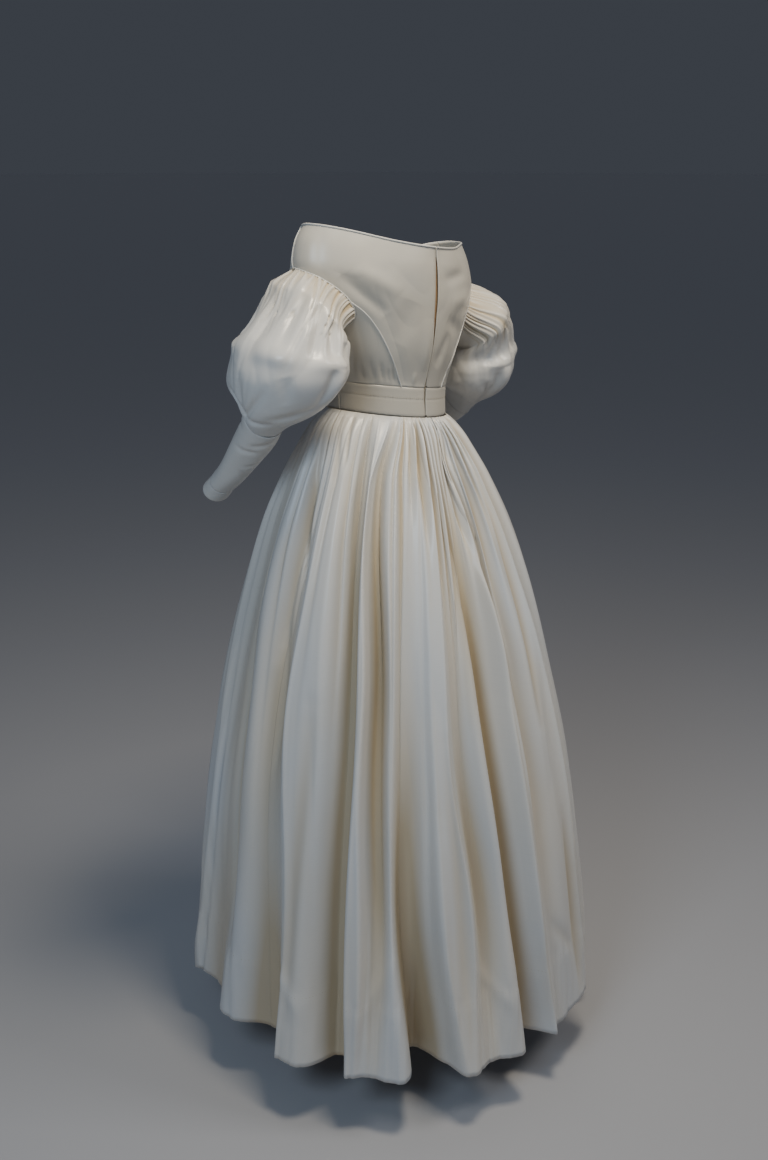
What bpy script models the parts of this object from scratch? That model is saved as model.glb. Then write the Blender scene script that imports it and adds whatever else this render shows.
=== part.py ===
"""An ivory silk wedding dress of the 1830s, hollow and held out as it is worn.

Every piece is cut as a flat slab of cloth and then laid on a form: the bodice on a
torso, the skirt on a pleated bell, the sleeves on rings that follow the arms.
+X is the wearer's left, +Y the back and +Z up. The origin lies midway between the
shoulders, where the wearer carries the dress.
"""

import math
from bisect import bisect_right
from collections import namedtuple

import bmesh
import bpy
from mathutils import Vector

# Driving sizes, in metres.
CLOTH = 0.0015  # silk with its cotton backing
BINDING = 0.0010
SEAM_GAP = 0.0003

# Pose: the wearer stands with the left shoulder raised.
SHOULDER_TILT = 0.12  # rise of the bodice per metre to the left
BODICE_LEAN = 0.03  # shift to the left per metre above the waist seam
HEM_LIFT = 0.015  # how far the hem rises from its right back to its left front
HEM_SPREAD = 1.0  # across the hem, that way

# Bodice: sections of the torso, from the lower edge of the waistband to the neckline.
# pinch flattens a section between its side and its back or front.
Torso = namedtuple("Torso", "level half_width back front pinch back_z side_z front_z")
TORSO = [
    Torso(-0.20, 0.110, 0.091, 0.094, 0.00, -0.297, -0.294, -0.300),
    Torso(0.00, 0.112, 0.092, 0.097, 0.00, -0.247, -0.245, -0.250),
    Torso(0.25, 0.130, 0.108, 0.118, 0.00, -0.186, -0.190, -0.190),
    Torso(0.45, 0.148, 0.116, 0.132, 0.01, -0.140, -0.145, -0.145),
    Torso(0.62, 0.168, 0.120, 0.132, 0.02, -0.103, -0.112, -0.112),
    Torso(0.78, 0.186, 0.121, 0.124, 0.05, -0.068, -0.080, -0.086),
    Torso(0.88, 0.191, 0.121, 0.116, 0.08, -0.046, -0.058, -0.070),
    Torso(0.94, 0.183, 0.120, 0.110, 0.10, -0.032, -0.026, -0.060),
    Torso(1.00, 0.167, 0.119, 0.104, 0.12, -0.016, 0.002, -0.048),
]

# Armhole: an oval on the torso, in degrees round it and levels up it.
HOLE_ANGLE = 4.0
HOLE_LEVEL = 0.62
HOLE_HALF_ANGLE = 27.0
HOLE_HALF_LEVEL = 0.22
HOLE_LEAN = 10.0  # the top stands this far forward of the middle
SIDE_MEETS = -20.0  # degrees round the armhole from its lowest point, to the back
SIDE_BACK_MEETS = 85.0
SHOULDER_MEETS = 180.0

# Seams of the bodice on the left. The right side is its mirror image.
Seam = namedtuple("Seam", "level angle")
SIDE_BACK_SEAM = [
    Seam(0.00, 64.5),
    Seam(0.12, 59.0),
    Seam(0.25, 53.0),
    Seam(0.40, 46.0),
    Seam(0.52, 39.0),
    Seam(0.60, 31.8),
]
SIDE_SEAM_ANGLE = 0.0  # at the waist
SHOULDER_SEAM_ANGLE = -14.0  # at the neckline
CENTRE_BACK = 90.0
CENTRE_FRONT = -90.0

# The back opening stands a little apart along its length.
Gap = namedtuple("Gap", "level width")
BACK_OPENING = [
    Gap(-0.20, 0.0014),
    Gap(-0.02, 0.0040),
    Gap(0.12, 0.0018),
    Gap(0.28, 0.0022),
    Gap(0.55, 0.0064),
    Gap(0.80, 0.0056),
    Gap(1.00, 0.0018),
]
BACK_COLUMNS, BACK_ROWS = 8, 18
SIDE_COLUMNS, SIDE_ROWS = 7, 6
FRONT_COLUMNS, FRONT_ROWS = 14, 19
FRONT_SIDE_ROWS, SHOULDER_ROWS = 4, 4
HOLE_ROW_SPREAD = 1.3
BAND_COLUMNS, BAND_ROWS = 8, 2
UNDERLAP_WIDTH = 0.026
UNDERLAP_LEVELS = (0.30, 0.94)
UNDERLAP_CLEARANCE = 0.0018

# Skirt: the outline of the bell, by the drop below the waist seam.
Bell = namedtuple("Bell", "drop radius oval centre_y")
BELL = [
    Bell(0.000, 0.1035, 0.090, 0.000),
    Bell(0.012, 0.1180, 0.085, 0.000),
    Bell(0.030, 0.1340, 0.080, 0.000),
    Bell(0.060, 0.1520, 0.072, 0.001),
    Bell(0.105, 0.1770, 0.060, 0.002),
    Bell(0.190, 0.2150, 0.045, 0.003),
    Bell(0.300, 0.2510, 0.030, 0.005),
    Bell(0.430, 0.2840, 0.020, 0.007),
    Bell(0.630, 0.3240, 0.010, 0.009),
    Bell(0.860, 0.3540, 0.000, 0.011),
    Bell(1.083, 0.3750, 0.000, 0.012),
]
SKIRT_DROP = 1.083
WAIST_TO_SKIRT_GAP = 0.0003

# Skirt: the long folds, by the angle and the depth of each valley on its way down, and how
# many short pleats at the waist run out before the next one.
DROPS = (0.0, 0.10, 0.45, 0.75, 1.083)
Fold = namedtuple(
    "Fold",
    "name waist high mid low hem deep_high deep_mid deep_low deep_hem spread lean pleats",
)
FOLDS = [
    Fold("left_side", 2, 5, 0, 3, 2, 0.010, 0.030, 0.024, 0.056, 8.5, 0.0, 3),
    Fold("left_back_a", 37, 32, 29, 27, 26, 0.020, 0.042, 0.052, 0.054, 4.0, 0.2, 0),
    Fold("left_back_b", 59, 45, 43, 42, 41, 0.024, 0.046, 0.036, 0.008, 3.0, 0.0, 1),
    Fold("left_back_c", 67, 58, 51, 50, 55, 0.006, 0.018, 0.044, 0.084, 5.2, -0.3, 3),
    Fold("back_a", 83, 79, 71, 74, 75, 0.010, 0.020, 0.030, 0.010, 3.8, 0.0, 1),
    Fold("back_b", 91, 85, 82, 85, 89, 0.018, 0.046, 0.052, 0.056, 4.0, -0.2, 1),
    Fold("back_c", 99, 93, 97, 99, 102, 0.012, 0.026, 0.014, 0.006, 4.6, 0.0, 4),
    Fold("right_back_a", 119, 120, 121, 124, 127, 0.018, 0.036, 0.044, 0.050, 4.6, 0.2, 0),
    Fold("right_back_b", 143, 144, 146, 148, 149, 0.016, 0.030, 0.036, 0.040, 5.0, 0.0, 2),
    Fold("right_side_a", 165, 166, 168, 168, 169, 0.014, 0.030, 0.024, 0.020, 4.6, -0.2, 1),
    Fold("right_side_b", 186, 187, 188, 190, 191, 0.018, 0.036, 0.046, 0.058, 5.6, 0.2, 2),
    Fold("right_front_a", 211, 212, 213, 213, 214, 0.014, 0.028, 0.040, 0.036, 5.0, 0.0, 1),
    Fold("right_front_b", 236, 237, 238, 239, 240, 0.018, 0.038, 0.046, 0.056, 5.0, -0.2, 1),
    Fold("front_a", 259, 261, 263, 264, 265, 0.014, 0.026, 0.032, 0.040, 5.4, 0.0, 1),
    Fold("front_b", 282, 285, 287, 289, 291, 0.018, 0.036, 0.046, 0.054, 5.0, 0.2, 1),
    Fold("left_front_a", 305, 309, 312, 314, 315, 0.014, 0.030, 0.038, 0.044, 5.0, 0.0, 2),
    Fold("left_front_b", 334, 337, 340, 345, 338, 0.014, 0.020, 0.022, 0.030, 10.5, 0.0, 2),
]
FOLD_SHARPNESS = 2.2  # 2 is a rounded trough; more gives steeper sides
PLEAT_DEPTHS = ((0.0, 0.0024), (0.03, 0.0060), (0.10, 0.0075), (0.20, 0.0045), (0.34, 0.0))
COLUMNS_A_PLEAT = 3
LEAST_COLUMNS_A_FOLD = 8
FOLD_CROWDING = 0.40  # how much closer the columns stand beside a long fold
CROWDED_FROM = 0.38  # once the short pleats have run out
SKIRT_ROW_DROPS = (0.0, 0.014, 0.040, 0.090, 0.17, 0.28, 0.44, 0.63, 0.85, 1.083)

# Skirt: the widths of silk it is sewn from, each between two of the folds above.
SKIRT_WIDTHS = (
    ("skirt_left_side_back", "left_side", "left_back_c"),
    ("skirt_back", "left_back_c", "right_back_a"),
    ("skirt_right_side_back", "right_back_a", "right_side_b"),
    ("skirt_right_side_front", "right_side_b", "right_front_b"),
    ("skirt_front", "right_front_b", "front_b"),
    ("skirt_left_side_front", "front_b", "left_side"),
)

# Sleeves: rings along each arm. aim is the way the cloth runs on, back and across are
# the ring's half sizes towards the back of the arm and square to that.
Ring = namedtuple("Ring", "along x y z aim_x aim_y aim_z back across gather")
LEFT_PUFF = [
    Ring(0.00, 0.183, 0.008, -0.103, 0.93, 0.00, -0.36, 0.060, 0.060, 0.0010),
    Ring(0.12, 0.204, 0.013, -0.110, 0.82, 0.00, -0.57, 0.082, 0.063, 0.0022),
    Ring(0.26, 0.218, 0.018, -0.132, 0.50, 0.00, -0.87, 0.093, 0.070, 0.0038),
    Ring(0.42, 0.235, 0.022, -0.168, 0.17, 0.00, -0.98, 0.098, 0.087, 0.0030),
    Ring(0.58, 0.242, 0.023, -0.205, 0.03, -0.03, -1.00, 0.097, 0.096, 0.0008),
    Ring(0.74, 0.248, 0.010, -0.235, -0.06, -0.25, -0.97, 0.081, 0.083, 0.0004),
    Ring(0.88, 0.262, -0.002, -0.256, -0.12, -0.62, -0.78, 0.050, 0.056, 0.0010),
    Ring(1.00, 0.265, -0.013, -0.278, -0.12, -0.79, -0.60, 0.035, 0.036, 0.0010),
]
RIGHT_PUFF = [
    Ring(0.00, -0.176, 0.008, -0.146, -0.93, 0.00, -0.36, 0.060, 0.060, 0.0010),
    Ring(0.12, -0.191, 0.010, -0.151, -0.82, -0.03, -0.57, 0.080, 0.061, 0.0022),
    Ring(0.26, -0.206, 0.003, -0.172, -0.50, -0.08, -0.87, 0.086, 0.066, 0.0038),
    Ring(0.42, -0.221, -0.010, -0.206, -0.17, -0.10, -0.98, 0.086, 0.077, 0.0030),
    Ring(0.58, -0.225, -0.014, -0.240, -0.03, -0.10, -1.00, 0.086, 0.082, 0.0008),
    Ring(0.74, -0.227, -0.022, -0.267, 0.00, -0.20, -0.97, 0.075, 0.075, 0.0004),
    Ring(0.88, -0.237, -0.042, -0.284, 0.12, -0.62, -0.77, 0.048, 0.050, 0.0010),
    Ring(1.00, -0.238, -0.053, -0.307, 0.20, -0.80, -0.58, 0.036, 0.037, 0.0010),
]
LEFT_LOWER = [
    Ring(0.00, 0.265, -0.013, -0.278, -0.12, -0.79, -0.60, 0.035, 0.036, 0.0),
    Ring(0.22, 0.257, -0.041, -0.308, -0.12, -0.79, -0.60, 0.033, 0.035, 0.0),
    Ring(0.55, 0.250, -0.087, -0.352, -0.12, -0.79, -0.60, 0.028, 0.031, 0.0),
    Ring(0.85, 0.246, -0.130, -0.391, -0.12, -0.79, -0.60, 0.023, 0.027, 0.0),
    Ring(1.00, 0.244, -0.152, -0.408, -0.12, -0.79, -0.60, 0.021, 0.026, 0.0),
]
RIGHT_LOWER = [
    Ring(0.00, -0.238, -0.053, -0.307, 0.20, -0.80, -0.58, 0.036, 0.037, 0.0),
    Ring(0.22, -0.227, -0.087, -0.337, 0.20, -0.80, -0.58, 0.034, 0.036, 0.0),
    Ring(0.55, -0.216, -0.136, -0.378, 0.20, -0.80, -0.58, 0.028, 0.031, 0.0),
    Ring(0.85, -0.206, -0.181, -0.413, 0.20, -0.80, -0.58, 0.023, 0.027, 0.0),
    Ring(1.00, -0.200, -0.203, -0.430, 0.20, -0.80, -0.58, 0.021, 0.026, 0.0),
]
CUFF_LENGTH = 0.030
CUFF_FLARE = 0.0012
SLEEVE_STANDS_OFF = 0.0011  # from the bodice round the armhole
SLEEVE_START_SIZE = 0.985  # of the armhole
CAP_BLEND = 0.16  # share of the puff over which it leaves the armhole's own outline
SLEEVE_GATHERS = 16
GATHER_SIZES = (1.0, 0.6, 0.9, 0.5, 1.1, 0.7, 0.8)  # taken in turn round the armhole
GATHERS_FROM = 40.0  # degrees round the armhole where the gathers start, each side
COLUMNS_A_GATHER = 3
COLUMNS_UNDER_ARM = 3
PUFF_COLUMNS = SLEEVE_GATHERS * COLUMNS_A_GATHER + 2 * COLUMNS_UNDER_ARM
PUFF_ROWS = 7
LOWER_COLUMNS, LOWER_ROWS = 16, 5
CUFF_ROWS = 1

Look = namedtuple("Look", "colour roughness")
SILK = Look((0.76, 0.70, 0.59, 1.0), 0.45)
TAPE = Look((0.42, 0.27, 0.15, 1.0), 0.85)


def clear_scene():
    for obj in list(bpy.data.objects):
        bpy.data.objects.remove(obj, do_unlink=True)


def new_material(name, look):
    material = bpy.data.materials.new(name)
    material.use_nodes = True
    shader = material.node_tree.nodes["Principled BSDF"]
    shader.inputs["Base Color"].default_value = look.colour
    shader.inputs["Roughness"].default_value = look.roughness
    shader.inputs["Metallic"].default_value = 0.0
    return material


def mix(a, b, share):
    return a + (b - a) * share


def smooth(share):
    share = min(max(share, 0.0), 1.0)
    return share * share * (3 - 2 * share)


def blend(rows, at):
    """The row at this place in the first column, on a smooth curve through the rows."""
    stops = [row[0] for row in rows]
    k = min(max(bisect_right(stops, at) - 1, 0), len(rows) - 2)
    span = stops[k + 1] - stops[k]
    share = (at - stops[k]) / span

    def slope(i, column):
        low, high = max(i - 1, 0), min(i + 1, len(rows) - 1)
        return (rows[high][column] - rows[low][column]) / (stops[high] - stops[low])

    values = [at]
    for column in range(1, len(rows[0])):
        start, end = rows[k][column], rows[k + 1][column]
        leave, arrive = slope(k, column) * span, slope(k + 1, column) * span
        cubic = 2 * start - 2 * end + leave + arrive
        square = 3 * end - 3 * start - 2 * leave - arrive
        values.append(start + share * (leave + share * (square + share * cubic)))
    return type(rows[0])(*values)


# A form turns two coordinates into a point. The steps are small shifts in each of them.
Form = namedtuple("Form", "point first_step second_step")


def cloth_object(name, look, form, place, columns, rows, inner=-CLOTH, outer=0.0):
    """Cuts a flat slab and lays it on a form.

    place turns the slab's two shares, 0 to 1, into the form's own two coordinates, and
    inner and outer are how far the slab's faces stand off the form.
    """
    slab = bmesh.new()
    bmesh.ops.create_grid(slab, x_segments=columns, y_segments=rows, size=0.5)
    bmesh.ops.solidify(slab, geom=slab.faces[:], thickness=CLOTH)
    for vert in slab.verts:
        height = inner if vert.co.z < -CLOTH / 2 else outer
        p, q = place(vert.co.x + 0.5, vert.co.y + 0.5)
        vert.co = lay_on(form, p, q, height)
    bmesh.ops.triangulate(slab, faces=slab.faces[:], quad_method="FIXED")
    bmesh.ops.recalc_face_normals(slab, faces=slab.faces[:])
    if slab.calc_volume(signed=True) < 0:
        bmesh.ops.reverse_faces(slab, faces=slab.faces[:])
    mesh = bpy.data.meshes.new(name)
    slab.to_mesh(mesh)
    slab.free()
    mesh.materials.append(new_material(name, look))
    mesh.shade_smooth()
    obj = bpy.data.objects.new(name, mesh)
    bpy.data.collections["wedding_dress"].objects.link(obj)
    return obj


def lay_on(form, p, q, height):
    """The form's point at p and q, moved out along the form's own normal."""
    step_p, step_q = form.first_step, form.second_step
    first = form.point(p + step_p, q) - form.point(p - step_p, q)
    second = form.point(p, q + step_q) - form.point(p, q - step_q)
    return form.point(p, q) + first.cross(second).normalized() * height


# Bodice


def torso(angle, level):
    """The torso's surface: angle in degrees from the wearer's left towards the back."""
    row = blend(TORSO, level)
    across, deep = math.cos(math.radians(angle)), math.sin(math.radians(angle))
    depth, end_z = (row.back, row.back_z) if deep > 0 else (row.front, row.front_z)
    flat = 1 - row.pinch * (2 * across * deep) ** 2
    x = row.half_width * across * flat
    z = mix(row.side_z, end_z, deep * deep) + SHOULDER_TILT * x
    lean = BODICE_LEAN * (row.back_z - TORSO[0].back_z)
    return Vector((x + lean, depth * deep * flat, z))


TORSO_FORM = Form(torso, first_step=0.05, second_step=5e-4)


def hole(turn, size=1.0):
    """The armhole's outline, by degrees from its lowest point towards the back."""
    turn = math.radians(turn)
    round_it = HOLE_HALF_ANGLE * math.sin(turn) + HOLE_LEAN * math.cos(turn)
    up_it = -HOLE_HALF_LEVEL * math.cos(turn)
    return Vector((HOLE_ANGLE + size * round_it, HOLE_LEVEL + size * up_it))


def along_parts(share, parts):
    """The point at this share of an edge made of several curves, each (end share, curve)."""
    start = 0.0
    for end, curve in parts:
        if share <= end or end == parts[-1][0]:
            return curve((share - start) / (end - start))
        start = end


def shoulder_seam(share):
    top = Vector((SHOULDER_SEAM_ANGLE, 1.0))
    return hole(SHOULDER_MEETS).lerp(top, share)


def side_back_seam(share):
    """The seam follows its table and ends on the armhole."""
    level = SIDE_BACK_SEAM[-1].level * share
    end = hole(SIDE_BACK_MEETS) - Vector((SIDE_BACK_SEAM[-1].angle, SIDE_BACK_SEAM[-1].level))
    return Vector((blend(SIDE_BACK_SEAM, level).angle, level)) + end * share


def side_seam(share):
    return Vector((SIDE_SEAM_ANGLE, 0.0)).lerp(hole(SIDE_MEETS), share)


def back_of_hole(share):
    """The rows stand farther apart towards the top, where the armhole runs level."""
    return hole(mix(SIDE_BACK_MEETS, SHOULDER_MEETS, share**HOLE_ROW_SPREAD))


def back_outer_edge(share):
    """Side-back seam, then the back of the armhole, then the shoulder seam."""
    parts = (
        (SIDE_ROWS / BACK_ROWS, side_back_seam),
        (1 - SHOULDER_ROWS / BACK_ROWS, back_of_hole),
        (1.0, shoulder_seam),
    )
    return along_parts(share, parts)


def front_outer_edge(share):
    """Side seam, then the front of the armhole, then the shoulder seam."""
    parts = (
        (FRONT_SIDE_ROWS / FRONT_ROWS, side_seam),
        (1 - SHOULDER_ROWS / FRONT_ROWS, lambda part: hole(mix(SIDE_MEETS, SHOULDER_MEETS - 360.0, part))),
        (1.0, shoulder_seam),
    )
    return along_parts(share, parts)


def opening_at(level):
    """The left edge of the back opening."""
    half = blend(BACK_OPENING, level).width / 2
    return Vector((CENTRE_BACK - math.degrees(half / blend(TORSO, level).half_width), level))


def back_opening_edge(share):
    return opening_at(share)


def patch(near, far, low, high):
    """Fills four edges of a panel: near and far run up it, low and high run across it."""

    def place(across, up):
        width = distance(torso(*near(up)), torso(*far(up)))
        height = distance(torso(*low(across)), torso(*high(across)))
        across, up = seam_inset(across, width), seam_inset(up, height)
        ruled_up = low(across).lerp(high(across), up)
        ruled_across = near(up).lerp(far(up), across)
        corners = low(0).lerp(low(1), across).lerp(high(0).lerp(high(1), across), up)
        return ruled_up + ruled_across - corners

    return place


def distance(a, b):
    return (a - b).length


def seam_inset(share, length):
    """Takes a share of a panel's width in from its edges by half the gap at a seam."""
    edge = SEAM_GAP / 2 / max(length, 10 * SEAM_GAP)
    return mix(edge, 1 - edge, share)


def straight(start, end):
    return lambda share: Vector(start).lerp(Vector(end), share)


def turned_over(point):
    return Vector((2 * CENTRE_BACK - point.x, point.y))


def on_the_right(place):
    """A left panel's cut turned over for the wearer's right."""
    return lambda across, up: turned_over(place(across, up))


def edges_across(near, far):
    """The straight lower and upper edges that close a panel between its two sides."""
    return straight(near(0), far(0)), straight(near(1), far(1))


def make_bodice():
    """The panels, and over each one's neck edge a strip made from the panel's own points."""
    back = patch(
        back_outer_edge,
        back_opening_edge,
        *edges_across(back_outer_edge, back_opening_edge),
    )
    side_back = patch(
        side_seam,
        side_back_seam,
        straight(side_seam(0), side_back_seam(0)),
        lambda share: hole(mix(SIDE_MEETS, SIDE_BACK_MEETS, share)),
    )
    front = patch(
        front_right_edge,
        front_outer_edge,
        *edges_across(front_right_edge, front_outer_edge),
    )
    for side, cut in (("left", lambda place: place), ("right", on_the_right)):
        panel("bodice_back_" + side, cut(back), BACK_COLUMNS, BACK_ROWS)
        panel("bodice_side_back_" + side, cut(side_back), SIDE_COLUMNS, SIDE_ROWS)
        neck_binding("neck_binding_back_" + side, cut(back), BACK_COLUMNS, BACK_ROWS)
    panel("bodice_front", front, FRONT_COLUMNS, FRONT_ROWS)
    neck_binding("neck_binding_front", front, FRONT_COLUMNS, FRONT_ROWS)


def front_right_edge(share):
    angle, level = front_outer_edge(share)
    return Vector((2 * CENTRE_FRONT - angle, level))


def panel(name, place, columns, rows):
    cloth_object(name, SILK, TORSO_FORM, place, columns, rows)


def neck_binding(name, place, columns, rows):
    """A narrow strip that follows the top row of a panel."""
    strip = lambda across, up: place(across, 1 - (1 - up) / rows)
    outer = SEAM_GAP + BINDING
    cloth_object(name, SILK, TORSO_FORM, strip, columns, 1, inner=SEAM_GAP, outer=outer)


def make_waistband():
    """A front piece between the side seams and two back pieces that end at the opening."""
    low, high = TORSO[0].level, TORSO[1].level
    side, other_side = SIDE_SEAM_ANGLE, 2 * CENTRE_FRONT - SIDE_SEAM_ANGLE
    side_end = straight((side, low), (side, high))
    other_end = straight((other_side, low), (other_side, high))

    def opening(share):
        return opening_at(mix(low, high, share))

    back = patch(side_end, opening, *edges_across(side_end, opening))
    front = patch(other_end, side_end, *edges_across(other_end, side_end))
    panel("waistband_back_left", back, BAND_COLUMNS, BAND_ROWS)
    panel("waistband_back_right", on_the_right(back), BAND_COLUMNS, BAND_ROWS)
    panel("waistband_front", front, 2 * BAND_COLUMNS, BAND_ROWS)


def make_underlap():
    """A strip of tape behind the back opening."""
    low, high = UNDERLAP_LEVELS

    def place(across, up):
        level = mix(low, high, up)
        half = math.degrees(UNDERLAP_WIDTH / 2 / blend(TORSO, level).half_width)
        return mix(CENTRE_BACK - half, CENTRE_BACK + half, across), level

    outer = -CLOTH - UNDERLAP_CLEARANCE
    cloth_object("back_underlap", TAPE, TORSO_FORM, place, 2, 8, inner=outer - BINDING, outer=outer)


# Skirt


def fold_path(fold):
    """The rows (drop, angle, depth) that a fold's valley follows."""
    angles = (fold.waist, fold.high, fold.mid, fold.low, fold.hem)
    depths = (0.0, fold.deep_high, fold.deep_mid, fold.deep_low, fold.deep_hem)
    return [Valley(*row) for row in zip(DROPS, angles, depths)]


Valley = namedtuple("Valley", "drop angle depth")
Depth = namedtuple("Depth", "drop depth")
PLEAT_ROWS = [Depth(*row) for row in PLEAT_DEPTHS]
FOLD_PATHS = [fold_path(fold) for fold in FOLDS]
FOLD_NAMES = [fold.name for fold in FOLDS]


def valleys_at(drop):
    """Where each fold's valley is at this drop, closed with the first one a turn later."""
    found = [blend(path, drop) for path in FOLD_PATHS]
    first = found[0]
    return found + [Valley(drop, first.angle + 360, first.depth)]


def fold_turn(place, valleys):
    """The angle at a place counted in folds, where a whole number is a valley."""
    turns, part = divmod(place, len(FOLDS))
    k = int(part)
    share = part - k
    crowding = FOLD_CROWDING * smooth(valleys[0].drop / CROWDED_FROM)
    crowded = share - crowding * math.sin(2 * math.pi * share) / (2 * math.pi)
    return mix(valleys[k].angle, valleys[k + 1].angle, crowded) + 360 * turns


def skirt(place, rise):
    """The skirt's surface, by a place counted in folds and the rise from hem to waist."""
    drop = SKIRT_DROP * (1 - rise)
    valleys = valleys_at(drop)
    angle = fold_turn(place, valleys)
    bell = blend(BELL, drop)
    inward = short_pleat(place, drop)
    sideways = 0.0
    for valley, fold in zip(valleys, FOLDS):
        off = (angle - valley.angle + 180) % 360 - 180
        deep = valley.depth * math.exp(-(abs(off / fold.spread) ** FOLD_SHARPNESS))
        inward += deep
        sideways += fold.lean * deep
    angle += math.degrees(sideways / bell.radius)
    across, deep = math.cos(math.radians(angle)), math.sin(math.radians(angle))
    x = (bell.radius * (1 + bell.oval) - inward) * across
    y = (bell.radius * (1 - bell.oval) - inward) * deep
    return Vector((x, y + bell.centre_y, skirt_height(x, y, across, deep, rise)))


def skirt_height(x, y, across, deep, rise):
    """The waist seam follows the waistband and the hem lies nearly level."""
    band = TORSO[0]
    end_z = band.back_z if deep > 0 else band.front_z
    top = mix(band.side_z, end_z, deep * deep) + SHOULDER_TILT * band.half_width * across
    bottom = band.back_z - SKIRT_DROP + HEM_LIFT * ((x - y) / HEM_SPREAD + 0.5) ** 2
    return mix(bottom, top - WAIST_TO_SKIRT_GAP, rise)


SKIRT_FORM = Form(skirt, first_step=2e-3, second_step=2e-4)


def short_pleat(place, drop):
    """How far a short pleat at the waist goes in: it has died away by mid thigh."""
    fold = FOLDS[int(place) % len(FOLDS)]
    depth = max(blend(PLEAT_ROWS, drop).depth, 0.0) if drop < PLEAT_ROWS[-1].drop else 0.0
    phase = place % 1 * (fold.pleats + 1)
    return depth * (0.5 + 0.5 * math.cos(2 * math.pi * phase))


def fold_columns(fold):
    return max(COLUMNS_A_PLEAT * (fold.pleats + 1), LEAST_COLUMNS_A_FOLD)


def make_skirt():
    for name, first, last in SKIRT_WIDTHS:
        start, end = FOLD_NAMES.index(first), FOLD_NAMES.index(last)
        if end <= start:
            end += len(FOLDS)
        stations = [
            k + step / fold_columns(FOLDS[k % len(FOLDS)])
            for k in range(start, end)
            for step in range(fold_columns(FOLDS[k % len(FOLDS)]))
        ] + [end]
        columns, rows = len(stations) - 1, len(SKIRT_ROW_DROPS) - 1

        def place(across, up, stations=stations, columns=columns, rows=rows):
            index = round(across * columns)
            rise = 1 - SKIRT_ROW_DROPS[rows - round(up * rows)] / SKIRT_DROP
            length = distance(skirt(stations[0], rise), skirt(stations[0] + 0.1, rise)) * 10
            inset = SEAM_GAP / 2 / length
            if index == 0:
                return stations[0] + inset, rise
            if index == columns:
                return stations[-1] - inset, rise
            return stations[index], rise

        cloth_object(name, SILK, SKIRT_FORM, place, columns, rows)


# Sleeves


def ring_frames(rings):
    """The rings with the way their back points, turned as little as can be from ring to ring."""
    Framed = namedtuple("Framed", Ring._fields + ("back_x", "back_y", "back_z"))
    back = Vector((0, 1, 0))
    framed = []
    for ring in rings:
        aim = Vector((ring.aim_x, ring.aim_y, ring.aim_z)).normalized()
        back = (back - aim * back.dot(aim)).normalized()
        framed.append(Framed(*ring, *back))
    return framed


def sleeve_form(rings, side, from_armhole):
    """The sleeve's surface by a turn in degrees from under the arm, and the share along it."""
    framed = ring_frames(rings)

    def form(turn, along):
        ring = blend(framed, along)
        centre = Vector((ring.x, ring.y, ring.z))
        aim = Vector((ring.aim_x, ring.aim_y, ring.aim_z)).normalized()
        back = Vector((ring.back_x, ring.back_y, ring.back_z))
        back = (back - aim * back.dot(aim)).normalized()
        over = aim.cross(back) * side
        angle = math.radians(turn)
        out = back * ring.back * math.sin(angle) - over * ring.across * math.cos(angle)
        point = centre + out
        if from_armhole and along < CAP_BLEND:
            share = along / CAP_BLEND
            point = armhole_edge(turn, side).lerp(point, share * (2 - share))
        radial = (point - centre).normalized()
        return point + radial * ring.gather * gather_wave(turn)

    return Form(form, first_step=0.05, second_step=5e-4)


def armhole_edge(turn, side):
    """A point just off the bodice on the armhole's outline."""
    angle, level = hole(turn, SLEEVE_START_SIZE)
    if side < 0:
        angle = 180 - angle
    return lay_on(TORSO_FORM, angle, level, SLEEVE_STANDS_OFF)


def gather_wave(turn):
    """0 in a valley and up to 2 on a ridge, and flat under the arm."""
    share = (turn - GATHERS_FROM) / (360 - 2 * GATHERS_FROM)
    if not 0 < share < 1:
        return 0.0
    ridge = GATHER_SIZES[int(SLEEVE_GATHERS * share) % len(GATHER_SIZES)]
    return ridge * (1 - math.cos(2 * math.pi * SLEEVE_GATHERS * share))


def puff_turn(across):
    """Spreads the columns: a few under the arm, and three to each gather."""
    edge = COLUMNS_UNDER_ARM / PUFF_COLUMNS
    stops = ((0, 0.0), (edge, GATHERS_FROM), (1 - edge, 360 - GATHERS_FROM), (1, 360.0))
    k = 0 if across <= edge else 1 if across <= 1 - edge else 2
    (low, start), (high, end) = stops[k], stops[k + 1]
    return mix(start, end, (across - low) / (high - low))


def even_turn(across):
    return 360.0 * across


def tube_cut(turn_of, radius, start, finish):
    """A tube opened along its seam, which runs under the arm."""
    slit = math.degrees(SEAM_GAP / 2 / radius)
    return lambda across, up: (mix(slit, 360 - slit, turn_of(across) / 360), mix(start, finish, up))


def make_sleeve(side, name, puff, lower):
    last = lower[-1]
    end = Vector((last.aim_x, last.aim_y, last.aim_z)).normalized() * CUFF_LENGTH
    mouth = last._replace(
        x=last.x + end.x,
        y=last.y + end.y,
        z=last.z + end.z,
        back=last.back + CUFF_FLARE,
        across=last.across + CUFF_FLARE,
    )
    cuff = [last._replace(along=0.0), mouth]
    inner = -CLOTH * side
    length = (Vector(lower[0][1:4]) - Vector(last[1:4])).length
    seam = SEAM_GAP / length
    pieces = (
        ("sleeve_puff_", puff, puff_turn, PUFF_COLUMNS, PUFF_ROWS, 0.0, 1.0),
        ("sleeve_lower_", lower, even_turn, LOWER_COLUMNS, LOWER_ROWS, seam, 1 - seam),
        ("cuff_", cuff, even_turn, LOWER_COLUMNS, CUFF_ROWS, 0.0, 1.0),
    )
    for kind, rings, turn, columns, rows, start, finish in pieces:
        form = sleeve_form(rings, side, from_armhole=rings is puff)
        place = tube_cut(turn, rings[-1].back, start, finish)
        cloth_object(kind + name, SILK, form, place, columns, rows, inner=inner)


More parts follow.
